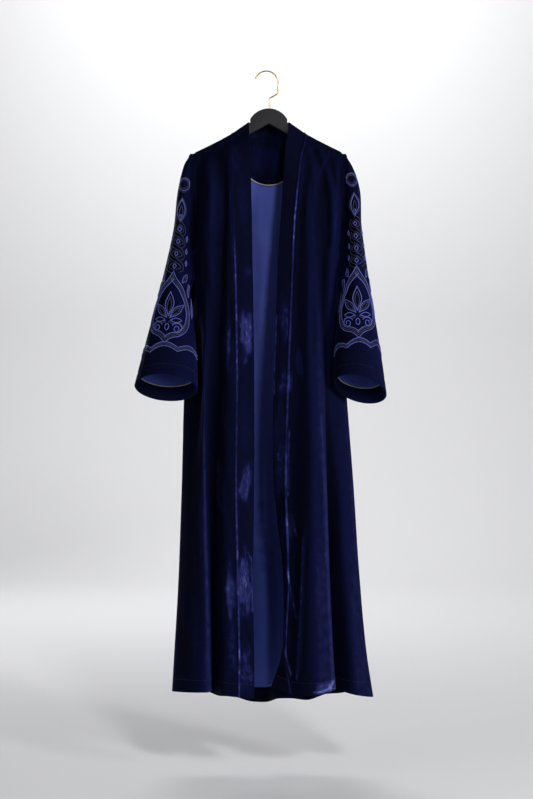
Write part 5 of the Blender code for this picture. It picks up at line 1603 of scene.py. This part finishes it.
# Rolled, uncoated paper: its fibres scatter the light evenly, so it has no highlight.
BACKDROP, _ = new_material("matt paper, pale grey", Roughness=0.9, Base_Color=colour("D8D8DA"))
backdrop = new_object("paper_backdrop", paper, grid_quads(len(floor_line), 3), BACKDROP)

# %% Lights
def area_light(name, place, aim, size, watts, tall=None):
    """Area light at a place in metres, turned towards another: a square, or a rectangle if tall is given."""
    data = bpy.data.lights.new(name, "AREA")
    data.size, data.energy = size, watts
    if tall:
        data.shape, data.size_y = "RECTANGLE", tall
    light = bpy.data.objects.new(name, data)
    light.location = place
    light.visible_camera = False
    light.rotation_euler = (Vector(aim) - Vector(place)).to_track_quat("-Z", "Y").to_euler()
    bpy.context.scene.collection.objects.link(light)
    return light


area_light("key_light", (0.92, -3.4, 0.75), (0.0, 0.0, -0.65), 0.45, 62.0)
area_light("right_strip", (2.3, -2.4, -0.4), (0.0, 0.0, -0.8), 0.5, 76.0, tall=1.8)
area_light("left_strip", (-2.6, -1.5, -0.4), (0.0, 0.0, -0.8), 0.6, 8.0, tall=1.8)
area_light("front_fill", (-0.5, -3.6, -0.5), (0.0, 0.0, -0.9), 0.8, 7.0)
area_light("back_fill", (-1.6, 3.2, 0.6), (0.0, 0.0, -0.8), 1.0, 30.0)
area_light("wall_light", (0.0, 2.7, 2.6), (0.0, 5.2, -0.4), 2.4, 150.0)
world = bpy.data.worlds.new("pale_room")
world.use_nodes = True
world.node_tree.nodes["Background"].inputs["Color"].default_value = colour("E6E8EE")
world.node_tree.nodes["Background"].inputs["Strength"].default_value = 0.13
bpy.context.scene.world = world
bpy.context.scene.view_settings.view_transform = "Standard"

# %% [markdown]
# ## The thread
# The facings of the hem, the cuffs and the neck are held by hand, with short stitches that sink into the
# pile. Each is a small tube that bows up from the cloth, laid every 7 mm along a row of the cloth's own
# grid. They are modelled because they catch the light as points, which a bump pattern on a dark pile
# wouldn't show.
# %% Stitches
STITCH, STITCH_STEP, THREAD_RADIUS = 3.2, 7.0, 0.35
HEM_STITCHES_UP, NECK_STITCH_ROW = 34.0, -3


def stitches_along(line, outs, lift):
    """Tubes of the stitches along a line: each rises as sin(pi s) and is thin at both ends."""
    along = lengths_along(line)
    share = np.linspace(0, 1, 6)
    places = np.arange(STITCH_STEP / 2, along[-1] - STITCH, STITCH_STEP)[:, None] + STITCH * share
    spots, ups = (np.stack([np.interp(places, along, part) for part in values.T], axis=-1)
                  for values in (line, outs))
    rise = lift + THREAD_RADIUS * (1.3 * np.sin(np.pi * share) - 0.7)
    radii = THREAD_RADIUS * np.array([0.4, 1, 1, 1, 1, 0.4])
    return [tube_rings(spot + up * rise[:, None], radii, up, sides=6) for spot, up in zip(spots, unit(ups))]


def row_above_hem(grid):
    """The row of a panel's grid at the stitches' height, with its normals."""
    lengths = run_lengths(grid, 0)
    row = int(np.searchsorted(lengths, lengths[-1] - HEM_STITCHES_UP))
    return grid[row], grid_normals(grid)[row]


def row_of_cuff(parts, outward):
    """The closed row of a sleeve's grid at the top of its cuff facing, with its normals."""
    sleeve, rows, _, lengths = parts
    row = int(np.searchsorted(rows, lengths[-2] - 0.01))
    line, outs = sleeve[row], -outward * grid_normals(sleeve, around=True)[row]
    return np.concatenate([line, line[:1]]), np.concatenate([outs, outs[:1]])


HEMMED = (front_left, band_left, front_right, band_right, back)
SEWN = [
    ("thread_hem", [row_above_hem(grid) for grid in HEMMED], VELVET),
    ("thread_cuff_left", [row_of_cuff(left_sleeve, -1)], VELVET),
    ("thread_cuff_right", [row_of_cuff(right_sleeve, 1)], VELVET),
    ("thread_neck", [(facing[NECK_STITCH_ROW], np.tile([0.0, -1.0, 0.0], (len(angles), 1)))], FACING),
]
for name, rows_sewn, wall in SEWN:
    stitches = [tube for line, outs in rows_sewn for tube in stitches_along(line, outs, wall / 2)]
    thread = tubes(name, stitches, THREAD)
    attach(thread, "root")
    print(f"{name}: {len(thread.data.polygons)} faces")
